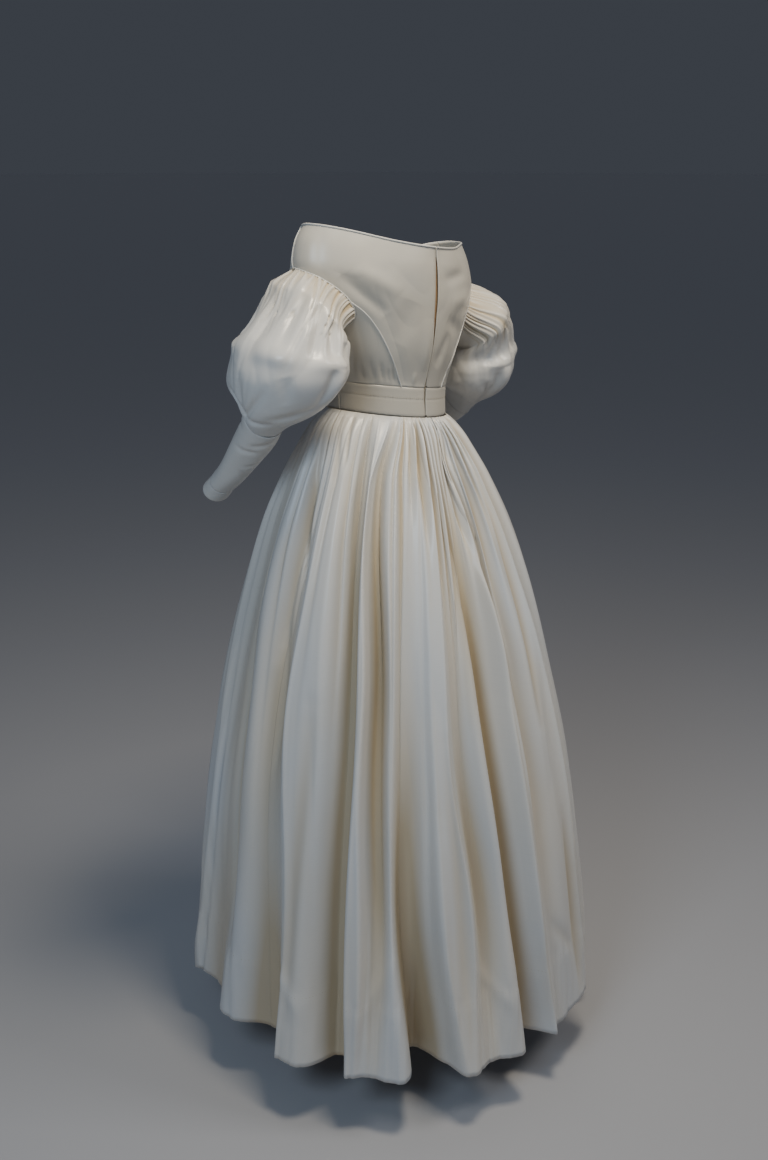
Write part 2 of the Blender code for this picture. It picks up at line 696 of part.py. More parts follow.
def main():
    clear_scene()
    collection = bpy.data.collections.new("wedding_dress")
    bpy.context.scene.collection.children.link(collection)
    make_bodice()
    make_waistband()
    make_underlap()
    make_skirt()
    make_sleeve(1, "left", LEFT_PUFF, LEFT_LOWER)
    make_sleeve(-1, "right", RIGHT_PUFF, RIGHT_LOWER)


main()
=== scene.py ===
import math
from collections import namedtuple

import bmesh
import bpy
import numpy as np
from mathutils import Matrix, Vector


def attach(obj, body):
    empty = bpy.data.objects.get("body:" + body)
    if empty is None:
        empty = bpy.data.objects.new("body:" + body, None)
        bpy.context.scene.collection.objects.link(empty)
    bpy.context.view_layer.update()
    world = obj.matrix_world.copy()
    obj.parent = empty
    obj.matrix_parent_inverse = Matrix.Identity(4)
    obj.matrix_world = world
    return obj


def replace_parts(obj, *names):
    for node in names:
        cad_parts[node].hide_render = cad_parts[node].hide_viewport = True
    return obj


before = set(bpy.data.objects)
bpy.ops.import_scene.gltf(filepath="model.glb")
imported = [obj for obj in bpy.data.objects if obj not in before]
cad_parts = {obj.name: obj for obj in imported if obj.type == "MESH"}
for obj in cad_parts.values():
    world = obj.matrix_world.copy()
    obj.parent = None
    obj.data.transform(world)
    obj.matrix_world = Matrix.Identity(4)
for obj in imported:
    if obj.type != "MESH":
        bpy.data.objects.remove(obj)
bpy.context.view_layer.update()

# Ivory silk wedding dress of the 1830s, worn, seen from behind on the wearer's left.
# +X is the wearer's left, +Y the back. Lengths in metres, angles in degrees.

# small helpers

def mix(a, b, share):
    return a + (b - a) * share


def ease(share):
    share = np.clip(share, 0, 1)
    return share * share * (3 - 2 * share)


def hump(away, width):
    return np.exp(-((away / width) ** 2))


def along(table, column, at):
    # smooth curve through one column of a table, whose first column holds the stops
    stops = np.array(next(iter(table.values())), float)
    values = np.array(table[column], float)
    at = np.asarray(at, float)
    index = np.arange(len(stops))
    low, high = np.maximum(index - 1, 0), np.minimum(index + 1, len(stops) - 1)
    slopes = (values[high] - values[low]) / (stops[high] - stops[low])
    k = np.clip(np.searchsorted(stops, at, side="right") - 1, 0, len(stops) - 2)
    span = stops[k + 1] - stops[k]
    share = (at - stops[k]) / span
    start, end = values[k], values[k + 1]
    leave, arrive = slopes[k] * span, slopes[k + 1] * span
    cubic = 2 * start - 2 * end + leave + arrive
    square = 3 * end - 3 * start - 2 * leave - arrive
    return start + share * (leave + share * (square + share * cubic))


def ripple(a, b, seed, waves=5):
    # soft uneven swell between about -1 and 1, from a few crossing waves
    total = np.zeros(np.broadcast(a, b).shape)
    for n in range(waves):
        turn = 2.399 * (n + seed)
        total = total + np.sin(a * (0.8 + 0.37 * n) * math.cos(turn)
                               + b * (0.8 + 0.31 * n) * math.sin(turn) + 1.7 * (n + 1) * seed)
    return total / waves * 1.4


def crumple(a, b, seed):
    # flat facets between 0 and 1 that meet in soft creases
    large, small = np.abs(ripple(a, b, seed)), np.abs(ripple(1.9 * a, 1.9 * b, seed + 3))
    return 0.65 * np.minimum(large / 0.5, 1) ** 0.8 + 0.35 * np.minimum(small / 0.5, 1) ** 0.8


def normals(pointAt, p, q, stepP, stepQ):
    first = pointAt(p + stepP, q) - pointAt(p - stepP, q)
    second = pointAt(p, q + stepQ) - pointAt(p, q - stepQ)
    out = np.cross(first, second)
    return out / np.linalg.norm(out, axis=-1, keepdims=True)


Crease = namedtuple("Crease", "a b toA toB width depth")


def creaseRelief(creases, a, b, sizeA, sizeB):
    # soft troughs (depth below 0) and ridges between two places, sizes turn a and b into metres
    relief = np.zeros(np.broadcast(a, b).shape)
    for c in creases:
        runA, runB = (c.toA - c.a) * sizeA, (c.toB - c.b) * sizeB
        offA, offB = (a - c.a) * sizeA, (b - c.b) * sizeB
        length2 = runA**2 + runB**2
        share = np.clip((offA * runA + offB * runB) / length2, 0, 1)
        away = np.hypot(offA - share * runA, offB - share * runB)
        taper = np.sin(math.pi * np.clip(share, 0.02, 0.98)) ** 0.6
        relief = relief + c.depth * taper * hump(away, c.width)
    return relief


# cloth pieces: a flat grid is cut, carried onto its form and given its thickness

allCloth = bpy.data.collections.new("weddingDressCloth")
bpy.context.scene.collection.children.link(allCloth)


def addPiece(name, mesh, material):
    obj = bpy.data.objects.new(name, mesh)
    allCloth.objects.link(obj)
    mesh.materials.append(material)
    mesh.shade_smooth()
    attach(obj, "root")
    return obj


def layCloth(name, spec, pointAt, material, turned=False, paintedShadeAt=None):
    grid = bmesh.new()
    cut = grid.loops.layers.uv.new("cut")
    bmesh.ops.create_grid(grid, x_segments=spec["columns"], y_segments=spec["rows"], size=0.5, calc_uvs=True)
    across = np.array([vert.co.x + 0.5 for vert in grid.verts])
    up = np.array([vert.co.y + 0.5 for vert in grid.verts])
    points = pointAt(across, up)
    # painted shade: the share of the dark fold colour at each point, kept in the fold attribute
    deep = paintedShadeAt(across, up) if paintedShadeAt else np.zeros(len(across))
    width, length = spec["cut"]
    fold = grid.verts.layers.float.new("fold")
    for face in grid.faces:
        for loop in face.loops:
            loop[cut].uv = (loop[cut].uv.x * width, loop[cut].uv.y * length)
    for vert, point, amount in zip(grid.verts, points, deep):
        vert.co = point
        vert[fold] = amount
    if turned:
        bmesh.ops.reverse_faces(grid, faces=grid.faces[:])
    mesh = bpy.data.meshes.new(name)
    grid.to_mesh(mesh)
    grid.free()
    obj = addPiece(name, mesh, material)
    wall = obj.modifiers.new("wall", "SOLIDIFY")
    wall.thickness = spec["wall"]
    wall.offset = -1
    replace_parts(obj, spec["node"])
    return obj


def layPiping(name, points, radius, material):
    # a corded seam: a round tube along the points
    line = bpy.data.curves.new(name, "CURVE")
    line.dimensions = "3D"
    line.bevel_depth = radius
    line.bevel_resolution = 2
    line.use_fill_caps = True
    spline = line.splines.new("POLY")
    spline.points.add(len(points) - 1)
    for knot, point in zip(spline.points, points):
        knot.co = (*point, 1)
    spline.use_smooth = True
    carrier = bpy.data.objects.new(name + "_line", line)
    bpy.context.scene.collection.objects.link(carrier)
    mesh = bpy.data.meshes.new_from_object(carrier.evaluated_get(bpy.context.evaluated_depsgraph_get()))
    bpy.data.objects.remove(carrier)
    mesh.materials.clear()
    return addPiece(name, mesh, material)


def sewStitches(name, points, outward, pitch, length, thickness, material):
    # short threads lying on the cloth at an even pitch along a line of points
    points, outward = np.asarray(points), np.asarray(outward)
    steps = np.linalg.norm(np.diff(points, axis=0), axis=1)
    reach = np.concatenate([[0], np.cumsum(steps)])
    threads = bmesh.new()
    at = pitch / 2
    while at < reach[-1]:
        middle = np.array([np.interp(at, reach, points[:, k]) for k in range(3)])
        ahead = np.array([np.interp(at + length / 2, reach, points[:, k]) for k in range(3)])
        rise = np.array([np.interp(at, reach, outward[:, k]) for k in range(3)])
        run = Vector(ahead - middle).normalized()
        lift = Vector(rise).normalized()
        side = lift.cross(run).normalized()
        place = Matrix((run * length / 2, side * thickness / 2, lift * thickness / 2)).transposed().to_4x4()
        place.translation = Vector(middle) + lift * thickness * 0.15
        bmesh.ops.create_icosphere(threads, subdivisions=1, radius=1, matrix=place)
        at += pitch
    mesh = bpy.data.meshes.new(name)
    threads.to_mesh(mesh)
    threads.free()
    return addPiece(name, mesh, material)


# silk

# the fold colour is painted shade: a warm dark that the fold attribute blends in along valleys, creases and
# gathers
silkLook = {
    "ivory": (0.66, 0.64, 0.60, 1), "cool": (0.62, 0.635, 0.645, 1), "paintedFoldShade": (0.47, 0.37, 0.22, 1),
    "stain": (0.42, 0.32, 0.19, 1), "roughness": 0.31, "slub": 0.00012,
    "sheen": 0.12, "sheenRoughness": 0.35, "specular": 0.55, "threadShade": 0.94, "roughInPatches": 0.10,
}


def socket(group, name, kind, value=None, output=False):
    made = group.interface.new_socket(name, in_out="OUTPUT" if output else "INPUT", socket_type=kind)
    if value is not None:
        made.default_value = value
    return made


def makeSilkGroup():
    group = bpy.data.node_groups.new("wornSilk", "ShaderNodeTree")
    socket(group, "Base", "NodeSocketColor", silkLook["ivory"])
    socket(group, "Cool", "NodeSocketColor", silkLook["cool"])
    socket(group, "Painted Fold Shade", "NodeSocketColor", silkLook["paintedFoldShade"])
    socket(group, "Stains", "NodeSocketFloat")
    socket(group, "Slub Depth", "NodeSocketFloat", silkLook["slub"])
    socket(group, "Pucker Depth", "NodeSocketFloat")
    socket(group, "Roughness", "NodeSocketFloat", silkLook["roughness"])
    socket(group, "Colour", "NodeSocketColor", output=True)
    socket(group, "Shine", "NodeSocketFloat", output=True)
    socket(group, "Normal", "NodeSocketVector", output=True)
    nodes, links = group.nodes, group.links
    given, put = nodes.new("NodeGroupInput"), nodes.new("NodeGroupOutput")

    cut = nodes.new("ShaderNodeUVMap")
    cut.uv_map = "cut"

    def noise(scale, stretch, detail=3, rough=0.5):
        turn = nodes.new("ShaderNodeMapping")
        turn.inputs["Scale"].default_value = stretch
        cloud = nodes.new("ShaderNodeTexNoise")
        cloud.inputs["Scale"].default_value = scale
        cloud.inputs["Detail"].default_value = detail
        cloud.inputs["Roughness"].default_value = rough
        links.new(cut.outputs["UV"], turn.inputs["Vector"])
        links.new(turn.outputs["Vector"], cloud.inputs["Vector"])
        return cloud.outputs["Fac"]

    def band(value, low, high):
        step = nodes.new("ShaderNodeMapRange")
        step.interpolation_type = "SMOOTHSTEP"
        step.inputs["From Min"].default_value = low
        step.inputs["From Max"].default_value = high
        links.new(value, step.inputs["Value"])
        return step.outputs["Result"]

    def blend(first, second, amount):
        mixed = nodes.new("ShaderNodeMix")
        mixed.data_type = "RGBA"
        links.new(amount, mixed.inputs["Factor"])
        links.new(first, mixed.inputs[6])
        links.new(second, mixed.inputs[7])
        return mixed.outputs[2]

    def times(a, b):  # b is a value or a socket
        product = nodes.new("ShaderNodeMath")
        product.operation = "MULTIPLY"
        links.new(a, product.inputs[0])
        if isinstance(b, float):
            product.inputs[1].default_value = b
        else:
            links.new(b, product.inputs[1])
        return product.outputs[0]

    patches = band(noise(3.2, (1, 0.6, 1)), 0.38, 0.64)
    colour = blend(given.outputs["Base"], given.outputs["Cool"], patches)
    # weft threads run across the cut
    threads = band(noise(60, (1, 14, 1), detail=2), 0.35, 0.75)
    ink = nodes.new("ShaderNodeHueSaturation")
    ink.inputs["Value"].default_value = silkLook["threadShade"]
    links.new(colour, ink.inputs["Color"])
    colour = blend(colour, ink.outputs["Color"], times(threads, 0.5))
    # painted shade: the fold attribute pulls the colour towards the warm dark fold colour where the cloth lies
    # in valleys and gathers
    fold = nodes.new("ShaderNodeAttribute")
    fold.attribute_name = "fold"
    colour = blend(colour, given.outputs["Painted Fold Shade"], fold.outputs["Fac"])
    spots = band(noise(9, (1, 1, 1), detail=6, rough=0.62), 0.66, 0.74)
    stain = nodes.new("ShaderNodeRGB")
    stain.outputs[0].default_value = silkLook["stain"]
    colour = blend(colour, stain.outputs[0], times(spots, given.outputs["Stains"]))
    links.new(colour, put.inputs["Colour"])

    shine = nodes.new("ShaderNodeMath")
    shine.operation = "MULTIPLY_ADD"
    links.new(patches, shine.inputs[0])
    shine.inputs[1].default_value = silkLook["roughInPatches"]
    links.new(given.outputs["Roughness"], shine.inputs[2])
    links.new(shine.outputs[0], put.inputs["Shine"])

    soft = nodes.new("ShaderNodeBump")
    soft.inputs["Strength"].default_value = 1.0
    puckers = noise(26, (1, 1.7, 1), detail=4, rough=0.55)
    links.new(times(puckers, given.outputs["Pucker Depth"]), soft.inputs["Height"])
    fine = nodes.new("ShaderNodeBump")
    fine.inputs["Strength"].default_value = 1.0
    slubs = noise(150, (1, 9, 1), detail=2)
    links.new(times(slubs, given.outputs["Slub Depth"]), fine.inputs["Height"])
    links.new(soft.outputs["Normal"], fine.inputs["Normal"])
    links.new(fine.outputs["Normal"], put.inputs["Normal"])
    return group


silkGroup = makeSilkGroup()


def makeSilk(name, puckerDepth, **values):
    material = bpy.data.materials.new(name)
    material.use_nodes = True
    nodes, links = material.node_tree.nodes, material.node_tree.links
    shader = nodes["Principled BSDF"]
    silk = nodes.new("ShaderNodeGroup")
    silk.node_tree = silkGroup
    for key, value in {"Pucker Depth": puckerDepth, **values}.items():
        silk.inputs[key].default_value = value
    links.new(silk.outputs["Colour"], shader.inputs["Base Color"])
    links.new(silk.outputs["Shine"], shader.inputs["Roughness"])
    links.new(silk.outputs["Normal"], shader.inputs["Normal"])
    shader.inputs["Sheen Weight"].default_value = silkLook["sheen"]
    shader.inputs["Sheen Roughness"].default_value = silkLook["sheenRoughness"]
    shader.inputs["Specular IOR Level"].default_value = silkLook["specular"]
    return material


skirtSilk = makeSilk("skirtSilk", 0.0026, Stains=0.25)
# painted shade: the bodice and waistband silk is the skirt's ivory made darker and warmer, standing for the
# shade the bodice lies in
bodiceSilk = makeSilk("bodiceSilk", 0.0018, Base=(0.53, 0.493, 0.42, 1), Cool=(0.505, 0.49, 0.45, 1),
                      Stains=0.18)
sleeveSilk = makeSilk("sleeveSilk", 0.0024, Stains=0.18)
cordSilk = makeSilk("cordSilk", 0.0, Base=(0.55, 0.515, 0.44, 1), Stains=0.0, **{"Slub Depth": 0.0})



def makePlain(name, colour, roughness, metallic=0.0, grain=0.0004, scale=900):
    material = bpy.data.materials.new(name)
    material.use_nodes = True
    nodes, links = material.node_tree.nodes, material.node_tree.links
    shader = nodes["Principled BSDF"]
    shader.inputs["Metallic"].default_value = metallic
    shader.inputs["Roughness"].default_value = roughness
    where = nodes.new("ShaderNodeTexCoord")
    cloud = nodes.new("ShaderNodeTexNoise")
    cloud.inputs["Scale"].default_value = scale
    ramp = nodes.new("ShaderNodeValToRGB")
    ramp.color_ramp.elements[0].color = [0.7 * part for part in colour[:3]] + [1]
    ramp.color_ramp.elements[1].color = colour
    bump = nodes.new("ShaderNodeBump")
    bump.inputs["Distance"].default_value = grain
    links.new(where.outputs["Object"], cloud.inputs["Vector"])
    links.new(cloud.outputs["Fac"], ramp.inputs["Fac"])
    links.new(cloud.outputs["Fac"], bump.inputs["Height"])
    links.new(ramp.outputs["Color"], shader.inputs["Base Color"])
    links.new(bump.outputs["Normal"], shader.inputs["Normal"])
    return material


threadMaterial = makePlain("silkThread", (0.50, 0.43, 0.31, 1), 0.6)
tapeMaterial = makePlain("brownTape", (0.46, 0.29, 0.15, 1), 0.9, scale=500)
print("materials made")


# bodice

torso = {
    "level": [-0.20, 0.00, 0.25, 0.45, 0.62, 0.78, 0.88, 0.94, 1.00],
    "halfWidth": [0.110, 0.112, 0.130, 0.148, 0.168, 0.186, 0.191, 0.183, 0.167],
    "back": [0.091, 0.092, 0.108, 0.116, 0.120, 0.121, 0.121, 0.120, 0.119],
    "front": [0.094, 0.097, 0.118, 0.132, 0.132, 0.124, 0.116, 0.110, 0.104],
    "pinch": [0.00, 0.00, 0.00, 0.01, 0.02, 0.05, 0.08, 0.10, 0.12],
    "backZ": [-0.297, -0.247, -0.186, -0.140, -0.103, -0.068, -0.046, -0.032, -0.016],
    "sideZ": [-0.294, -0.245, -0.190, -0.145, -0.112, -0.080, -0.058, -0.026, 0.002],
    "frontZ": [-0.300, -0.250, -0.190, -0.145, -0.112, -0.086, -0.070, -0.060, -0.048],
}
shoulderTilt, bodiceLean = 0.12, 0.03
armhole = {"angle": 4, "level": 0.62, "halfAngle": 27, "halfLevel": 0.22, "lean": 10,
           "side": -20, "sideBack": 85, "shoulder": 180}
sideBackSeam = {"level": [0, 0.12, 0.25, 0.40, 0.52, 0.60], "angle": [64.5, 59, 53, 46, 39, 31.8]}
backOpening = {"level": [-0.20, -0.02, 0.12, 0.28, 0.55, 0.80, 1.00],
               "width": [0.0014, 0.0040, 0.0018, 0.0022, 0.0064, 0.0056, 0.0018]}
shoulderSeamAngle, sideSeamAngle, centreBack = -14, 0, 90


def torsoPoint(angle, level):
    across, deep = np.cos(np.radians(angle)), np.sin(np.radians(angle))
    behind = deep > 0
    depth = np.where(behind, along(torso, "back", level), along(torso, "front", level))
    endZ = np.where(behind, along(torso, "backZ", level), along(torso, "frontZ", level))
    flat = 1 - along(torso, "pinch", level) * (2 * across * deep) ** 2
    x = along(torso, "halfWidth", level) * across * flat
    z = mix(along(torso, "sideZ", level), endZ, deep * deep) + shoulderTilt * x
    lean = bodiceLean * (along(torso, "backZ", level) - torso["backZ"][0])
    return np.stack([x + lean, depth * deep * flat, z], -1)


def torsoOut(angle, level):
    return normals(torsoPoint, angle, level, 0.5, 0.004)


def hole(turn, size=1.0):
    turn = np.radians(turn)
    roundIt = armhole["halfAngle"] * np.sin(turn) + armhole["lean"] * np.cos(turn)
    upIt = -armhole["halfLevel"] * np.cos(turn)
    return np.stack([armhole["angle"] + size * roundIt, armhole["level"] + size * upIt], -1)


def joinEdges(share, parts):
    share = np.asarray(share, float)
    edge, start = np.zeros(share.shape + (2,)), 0
    for end, curve in parts:
        part = curve(np.clip((share - start) / (end - start), 0, 1))
        edge = np.where((share > start)[..., None] | (start == 0), part, edge)
        start = end
    return edge


def straight(start, end):
    start, end = np.asarray(start, float), np.asarray(end, float)
    return lambda share: start + (end - start) * np.asarray(share, float)[..., None]


def sideBackEdge(share):
    level = sideBackSeam["level"][-1] * np.asarray(share, float)
    end = hole(armhole["sideBack"]) - [sideBackSeam["angle"][-1], sideBackSeam["level"][-1]]
    return np.stack([along(sideBackSeam, "angle", level), level], -1) + end * np.asarray(share)[..., None]


def sideEdge(share):
    return straight((sideSeamAngle, 0), hole(armhole["side"]))(share)


def shoulderEdge(share):
    return straight(hole(armhole["shoulder"]), (shoulderSeamAngle, 1))(share)


def backOuterEdge(share):
    return joinEdges(share, [
        (6 / 18, sideBackEdge),
        (14 / 18, lambda part: hole(mix(armhole["sideBack"], armhole["shoulder"], part**1.3))),
        (1, shoulderEdge)])


def frontOuterEdge(share):
    return joinEdges(share, [
        (4 / 19, sideEdge),
        (15 / 19, lambda part: hole(mix(armhole["side"], armhole["shoulder"] - 360, part))),
        (1, shoulderEdge)])


def frontOtherEdge(share):
    edge = frontOuterEdge(share)
    return np.stack([-180 - edge[..., 0], edge[..., 1]], -1)


def openingAt(level):
    half = along(backOpening, "width", level) / 2
    return np.stack([centreBack - np.degrees(half / along(torso, "halfWidth", level)), level + 0 * half], -1)


def patch(near, far, low, high):
    # fills four edges: near and far run up, low and high run across
    def place(across, up):
        a, u = across[..., None], up[..., None]
        ruled = mix(low(across), high(across), u) + mix(near(up), far(up), a)
        corners = mix(mix(low(0.0), low(1.0), a), mix(high(0.0), high(1.0), a), u)
        spot = ruled - corners
        return spot[..., 0], spot[..., 1]
    return place


bodiceCreases = [
    Crease(30, 0.80, 54, 0.50, 0.014, -0.0022), Crease(40, 0.86, 66, 0.66, 0.016, 0.0016),
    Crease(60, 0.30, 74, 0.62, 0.018, -0.0012), Crease(84, 0.10, 86, 0.50, 0.010, 0.0010),
    Crease(48, 0.02, 46, 0.16, 0.004, -0.0010), Crease(53, 0.02, 52, 0.12, 0.004, -0.0009),
    Crease(58, 0.02, 57, 0.13, 0.004, -0.0010), Crease(40, 0.02, 37, 0.18, 0.005, -0.0010),
    Crease(30, 0.02, 27, 0.16, 0.005, -0.0009), Crease(20, 0.05, 24, 0.28, 0.007, -0.0012),
    Crease(76, 0.02, 77, 0.10, 0.005, 0.0006), Crease(97, 0.14, 108, 0.40, 0.012, -0.0013),
    Crease(96, 0.78, 122, 0.88, 0.012, -0.0014), Crease(104, 0.62, 136, 0.72, 0.016, 0.0016),
    Crease(102, 0.50, 128, 0.40, 0.014, -0.0014), Crease(121, 0.02, 123, 0.15, 0.005, -0.0010),
    Crease(134, 0.02, 137, 0.18, 0.005, -0.0010), Crease(150, 0.04, 154, 0.24, 0.006, -0.0011),
    Crease(-30, 0.70, -58, 0.52, 0.016, -0.0018), Crease(-150, 0.72, -124, 0.50, 0.016, -0.0018),
    Crease(-48, 0.02, -50, 0.30, 0.006, -0.0012), Crease(-132, 0.02, -130, 0.28, 0.006, -0.0012),
    Crease(-70, 0.02, -68, 0.20, 0.006, -0.0010), Crease(-110, 0.02, -113, 0.22, 0.006, -0.0010),
    Crease(-62, 0.62, -90, 0.70, 0.014, 0.0012), Crease(-118, 0.64, -92, 0.74, 0.014, 0.0012),
]


bodiceWear = {"swell": 0.0007, "creases": 2.3, "facets": 0.0016, "lip": 0.0009, "lipWidth": 0.004,
              "perDegree": 0.0027, "creaseSize": (0.0025, 0.25)}  # metres for a degree and for a level


def bodiceRelief(angle, level):
    swell = bodiceWear["swell"] * ripple(angle * 0.09, level * 7, 3)
    creases = creaseRelief(bodiceCreases, angle, level, *bodiceWear["creaseSize"])
    relief = swell + bodiceWear["creases"] * creases
    relief = relief + bodiceWear["facets"] * (crumple(angle * 0.075, level * 3.2, 4) - 0.7)
    # the edges beside the back opening turn out a little
    fromOpening = np.abs(angle - centreBack) * bodiceWear["perDegree"]
    lip = bodiceWear["lip"] * hump(fromOpening, bodiceWear["lipWidth"]) * (level > 0.02)
    rim = ease((1 - level) / 0.06) * ease(level / 0.03)
    return relief * rim + lip


def onBodice(place):
    def pointAt(across, up):
        angle, level = place(across, up)
        return torsoPoint(angle, level) + torsoOut(angle, level) * bodiceRelief(angle, level)[..., None]
    return pointAt


def turnedOver(place):
    def other(across, up):
        angle, level = place(across, up)
        return 180 - angle, level
    return other


backPlace = patch(backOuterEdge, openingAt,
                  straight(backOuterEdge(0.0), openingAt(0.0)), straight(backOuterEdge(1.0), openingAt(1.0)))
sideBackPlace = patch(sideEdge, sideBackEdge, straight(sideEdge(0.0), sideBackEdge(0.0)),
                      lambda share: hole(mix(armhole["side"], armhole["sideBack"], np.asarray(share, float))))
frontPlace = patch(frontOtherEdge, frontOuterEdge,
                   straight(frontOtherEdge(0.0), frontOuterEdge(0.0)),
                   straight(frontOtherEdge(1.0), frontOuterEdge(1.0)))

bodiceCloth = {"wall": 0.0013, "held": "stretched"}
bodicePanels = {
    "bodice_back": {"columns": 70, "rows": 108, "cut": (0.20, 0.28), "area": 0.037},
    "bodice_side_back": {"columns": 42, "rows": 48, "cut": (0.12, 0.17), "area": 0.0118},
    "bodice_front": {"columns": 120, "rows": 114, "cut": (0.46, 0.27), "area": 0.092},
}


def layPanel(kind, place, side=""):
    spec = {**bodiceCloth, **bodicePanels[kind], "node": kind + side}
    layCloth("silk_" + kind + side, spec, onBodice(place), bodiceSilk, turned=side == "_right")


for side in ("_left", "_right"):
    for kind, place in (("bodice_back", backPlace), ("bodice_side_back", sideBackPlace)):
        layPanel(kind, place if side == "_left" else turnedOver(place), side)
layPanel("bodice_front", frontPlace)

# waistband
waistband = {**bodiceCloth, "columns": 60, "rows": 22, "stitchLevel": -0.08, "low": -0.20, "high": 0.0}
bandWear = {"perLevel": 0.25, "tuck": 0.0005, "tuckWidth": 0.0012, "pucker": 0.00035, "puckerWidth": 0.006,
            "rounding": 0.0010, "roundingWidth": 0.0022, "swell": 0.0004, "standsOff": 0.0007}


def bandPlace(start, end):
    def place(across, up):
        level = mix(waistband["low"], waistband["high"], up)
        return mix(start(level), end(level), across), level
    return place


def bandRelief(angle, level):
    fromLine, fromTop, fromBottom = ((level - mark) * bandWear["perLevel"] for mark in (
        waistband["stitchLevel"], waistband["high"], waistband["low"]))
    tuck = -bandWear["tuck"] * hump(fromLine, bandWear["tuckWidth"])
    gather = np.sin(angle * 1.9 + 2 * ripple(angle * 0.2, level, 5))
    pucker = bandWear["pucker"] * gather * hump(fromLine, bandWear["puckerWidth"])
    edges = hump(fromTop, bandWear["roundingWidth"]) + hump(fromBottom, bandWear["roundingWidth"])
    swell = bandWear["swell"] * ripple(angle * 0.12, level * 9, 8)
    return tuck + pucker - bandWear["rounding"] * edges + swell


def onBand(place):
    def pointAt(across, up):
        angle, level = place(across, up)
        lift = bandRelief(angle, level) + bandWear["standsOff"]
        return torsoPoint(angle, level) + torsoOut(angle, level) * lift[..., None]
    return pointAt


def steady(angle):
    return lambda level: angle + 0 * level


def openingAngle(level):
    return openingAt(level)[..., 0]


bandEnds = {
    "waistband_back_left": (steady(sideSeamAngle), openingAngle, (0.165, 0.05)),
    "waistband_back_right": (lambda level: 180 - openingAngle(level),
                             steady(180 - sideSeamAngle), (0.165, 0.05)),
    "waistband_front": (steady(-180 - sideSeamAngle), steady(sideSeamAngle), (0.33, 0.05)),
}
for node, (start, end, cut) in bandEnds.items():
    spec = {**waistband, "node": node, "cut": cut}
    layCloth("silk_" + node, spec, onBand(bandPlace(start, end)), bodiceSilk)
print("bodice laid")

# skirt

bell = {
    "drop": [0.000, 0.012, 0.030, 0.060, 0.105, 0.190, 0.300, 0.430, 0.630, 0.860, 1.083],
    "radius": [0.1035, 0.1180, 0.1340, 0.1520, 0.1770, 0.2150, 0.2510, 0.2840, 0.3240, 0.3540, 0.3750],
    "oval": [0.090, 0.085, 0.080, 0.072, 0.060, 0.045, 0.030, 0.020, 0.010, 0.000, 0.000],
    "centreY": [0.000, 0.000, 0.000, 0.001, 0.002, 0.003, 0.005, 0.007, 0.009, 0.011, 0.012],
}
skirtDrop, hemLift = 1.083, 0.015
foldDrops = [0, 0.10, 0.45, 0.75, 1.083]
Fold = namedtuple("Fold", "name waist high mid low hem deepHigh deepMid deepLow deepHem spread lean pleats")
folds = [
    Fold("left_side", 2, 5, 0, 3, 2, 0.010, 0.030, 0.024, 0.056, 8.5, 0.0, 3),
    Fold("left_back_a", 37, 32, 29, 27, 26, 0.020, 0.042, 0.052, 0.054, 4.0, 0.2, 0),
    Fold("left_back_b", 59, 45, 43, 42, 41, 0.024, 0.046, 0.036, 0.008, 3.0, 0.0, 1),
    Fold("left_back_c", 67, 58, 51, 50, 55, 0.006, 0.018, 0.044, 0.084, 5.2, -0.3, 3),
    Fold("back_a", 83, 79, 71, 74, 75, 0.010, 0.020, 0.030, 0.010, 3.8, 0.0, 1),
    Fold("back_b", 91, 85, 82, 85, 89, 0.018, 0.046, 0.052, 0.056, 4.0, -0.2, 1),
    Fold("back_c", 99, 93, 97, 99, 102, 0.012, 0.026, 0.014, 0.006, 4.6, 0.0, 4),
    Fold("right_back_a", 119, 120, 121, 124, 127, 0.018, 0.036, 0.044, 0.050, 4.6, 0.2, 0),
    Fold("right_back_b", 143, 144, 146, 148, 149, 0.016, 0.030, 0.036, 0.040, 5.0, 0.0, 2),
    Fold("right_side_a", 165, 166, 168, 168, 169, 0.014, 0.030, 0.024, 0.020, 4.6, -0.2, 1),
    Fold("right_side_b", 186, 187, 188, 190, 191, 0.018, 0.036, 0.046, 0.058, 5.6, 0.2, 2),
    Fold("right_front_a", 211, 212, 213, 213, 214, 0.014, 0.028, 0.040, 0.036, 5.0, 0.0, 1),
    Fold("right_front_b", 236, 237, 238, 239, 240, 0.018, 0.038, 0.046, 0.056, 5.0, -0.2, 1),
    Fold("front_a", 259, 261, 263, 264, 265, 0.014, 0.026, 0.032, 0.040, 5.4, 0.0, 1),
    Fold("front_b", 282, 285, 287, 289, 291, 0.018, 0.036, 0.046, 0.054, 5.0, 0.2, 1),
    Fold("left_front_a", 305, 309, 312, 314, 315, 0.014, 0.030, 0.038, 0.044, 5.0, 0.0, 2),
    Fold("left_front_b", 334, 337, 340, 345, 338, 0.014, 0.020, 0.022, 0.030, 10.5, 0.0, 2),
]
pleatDepth = {"drop": [0.0, 0.03, 0.10, 0.20, 0.34, 0.50],
              "depth": [0.0024, 0.0062, 0.0078, 0.0050, 0.0012, 0.0]}
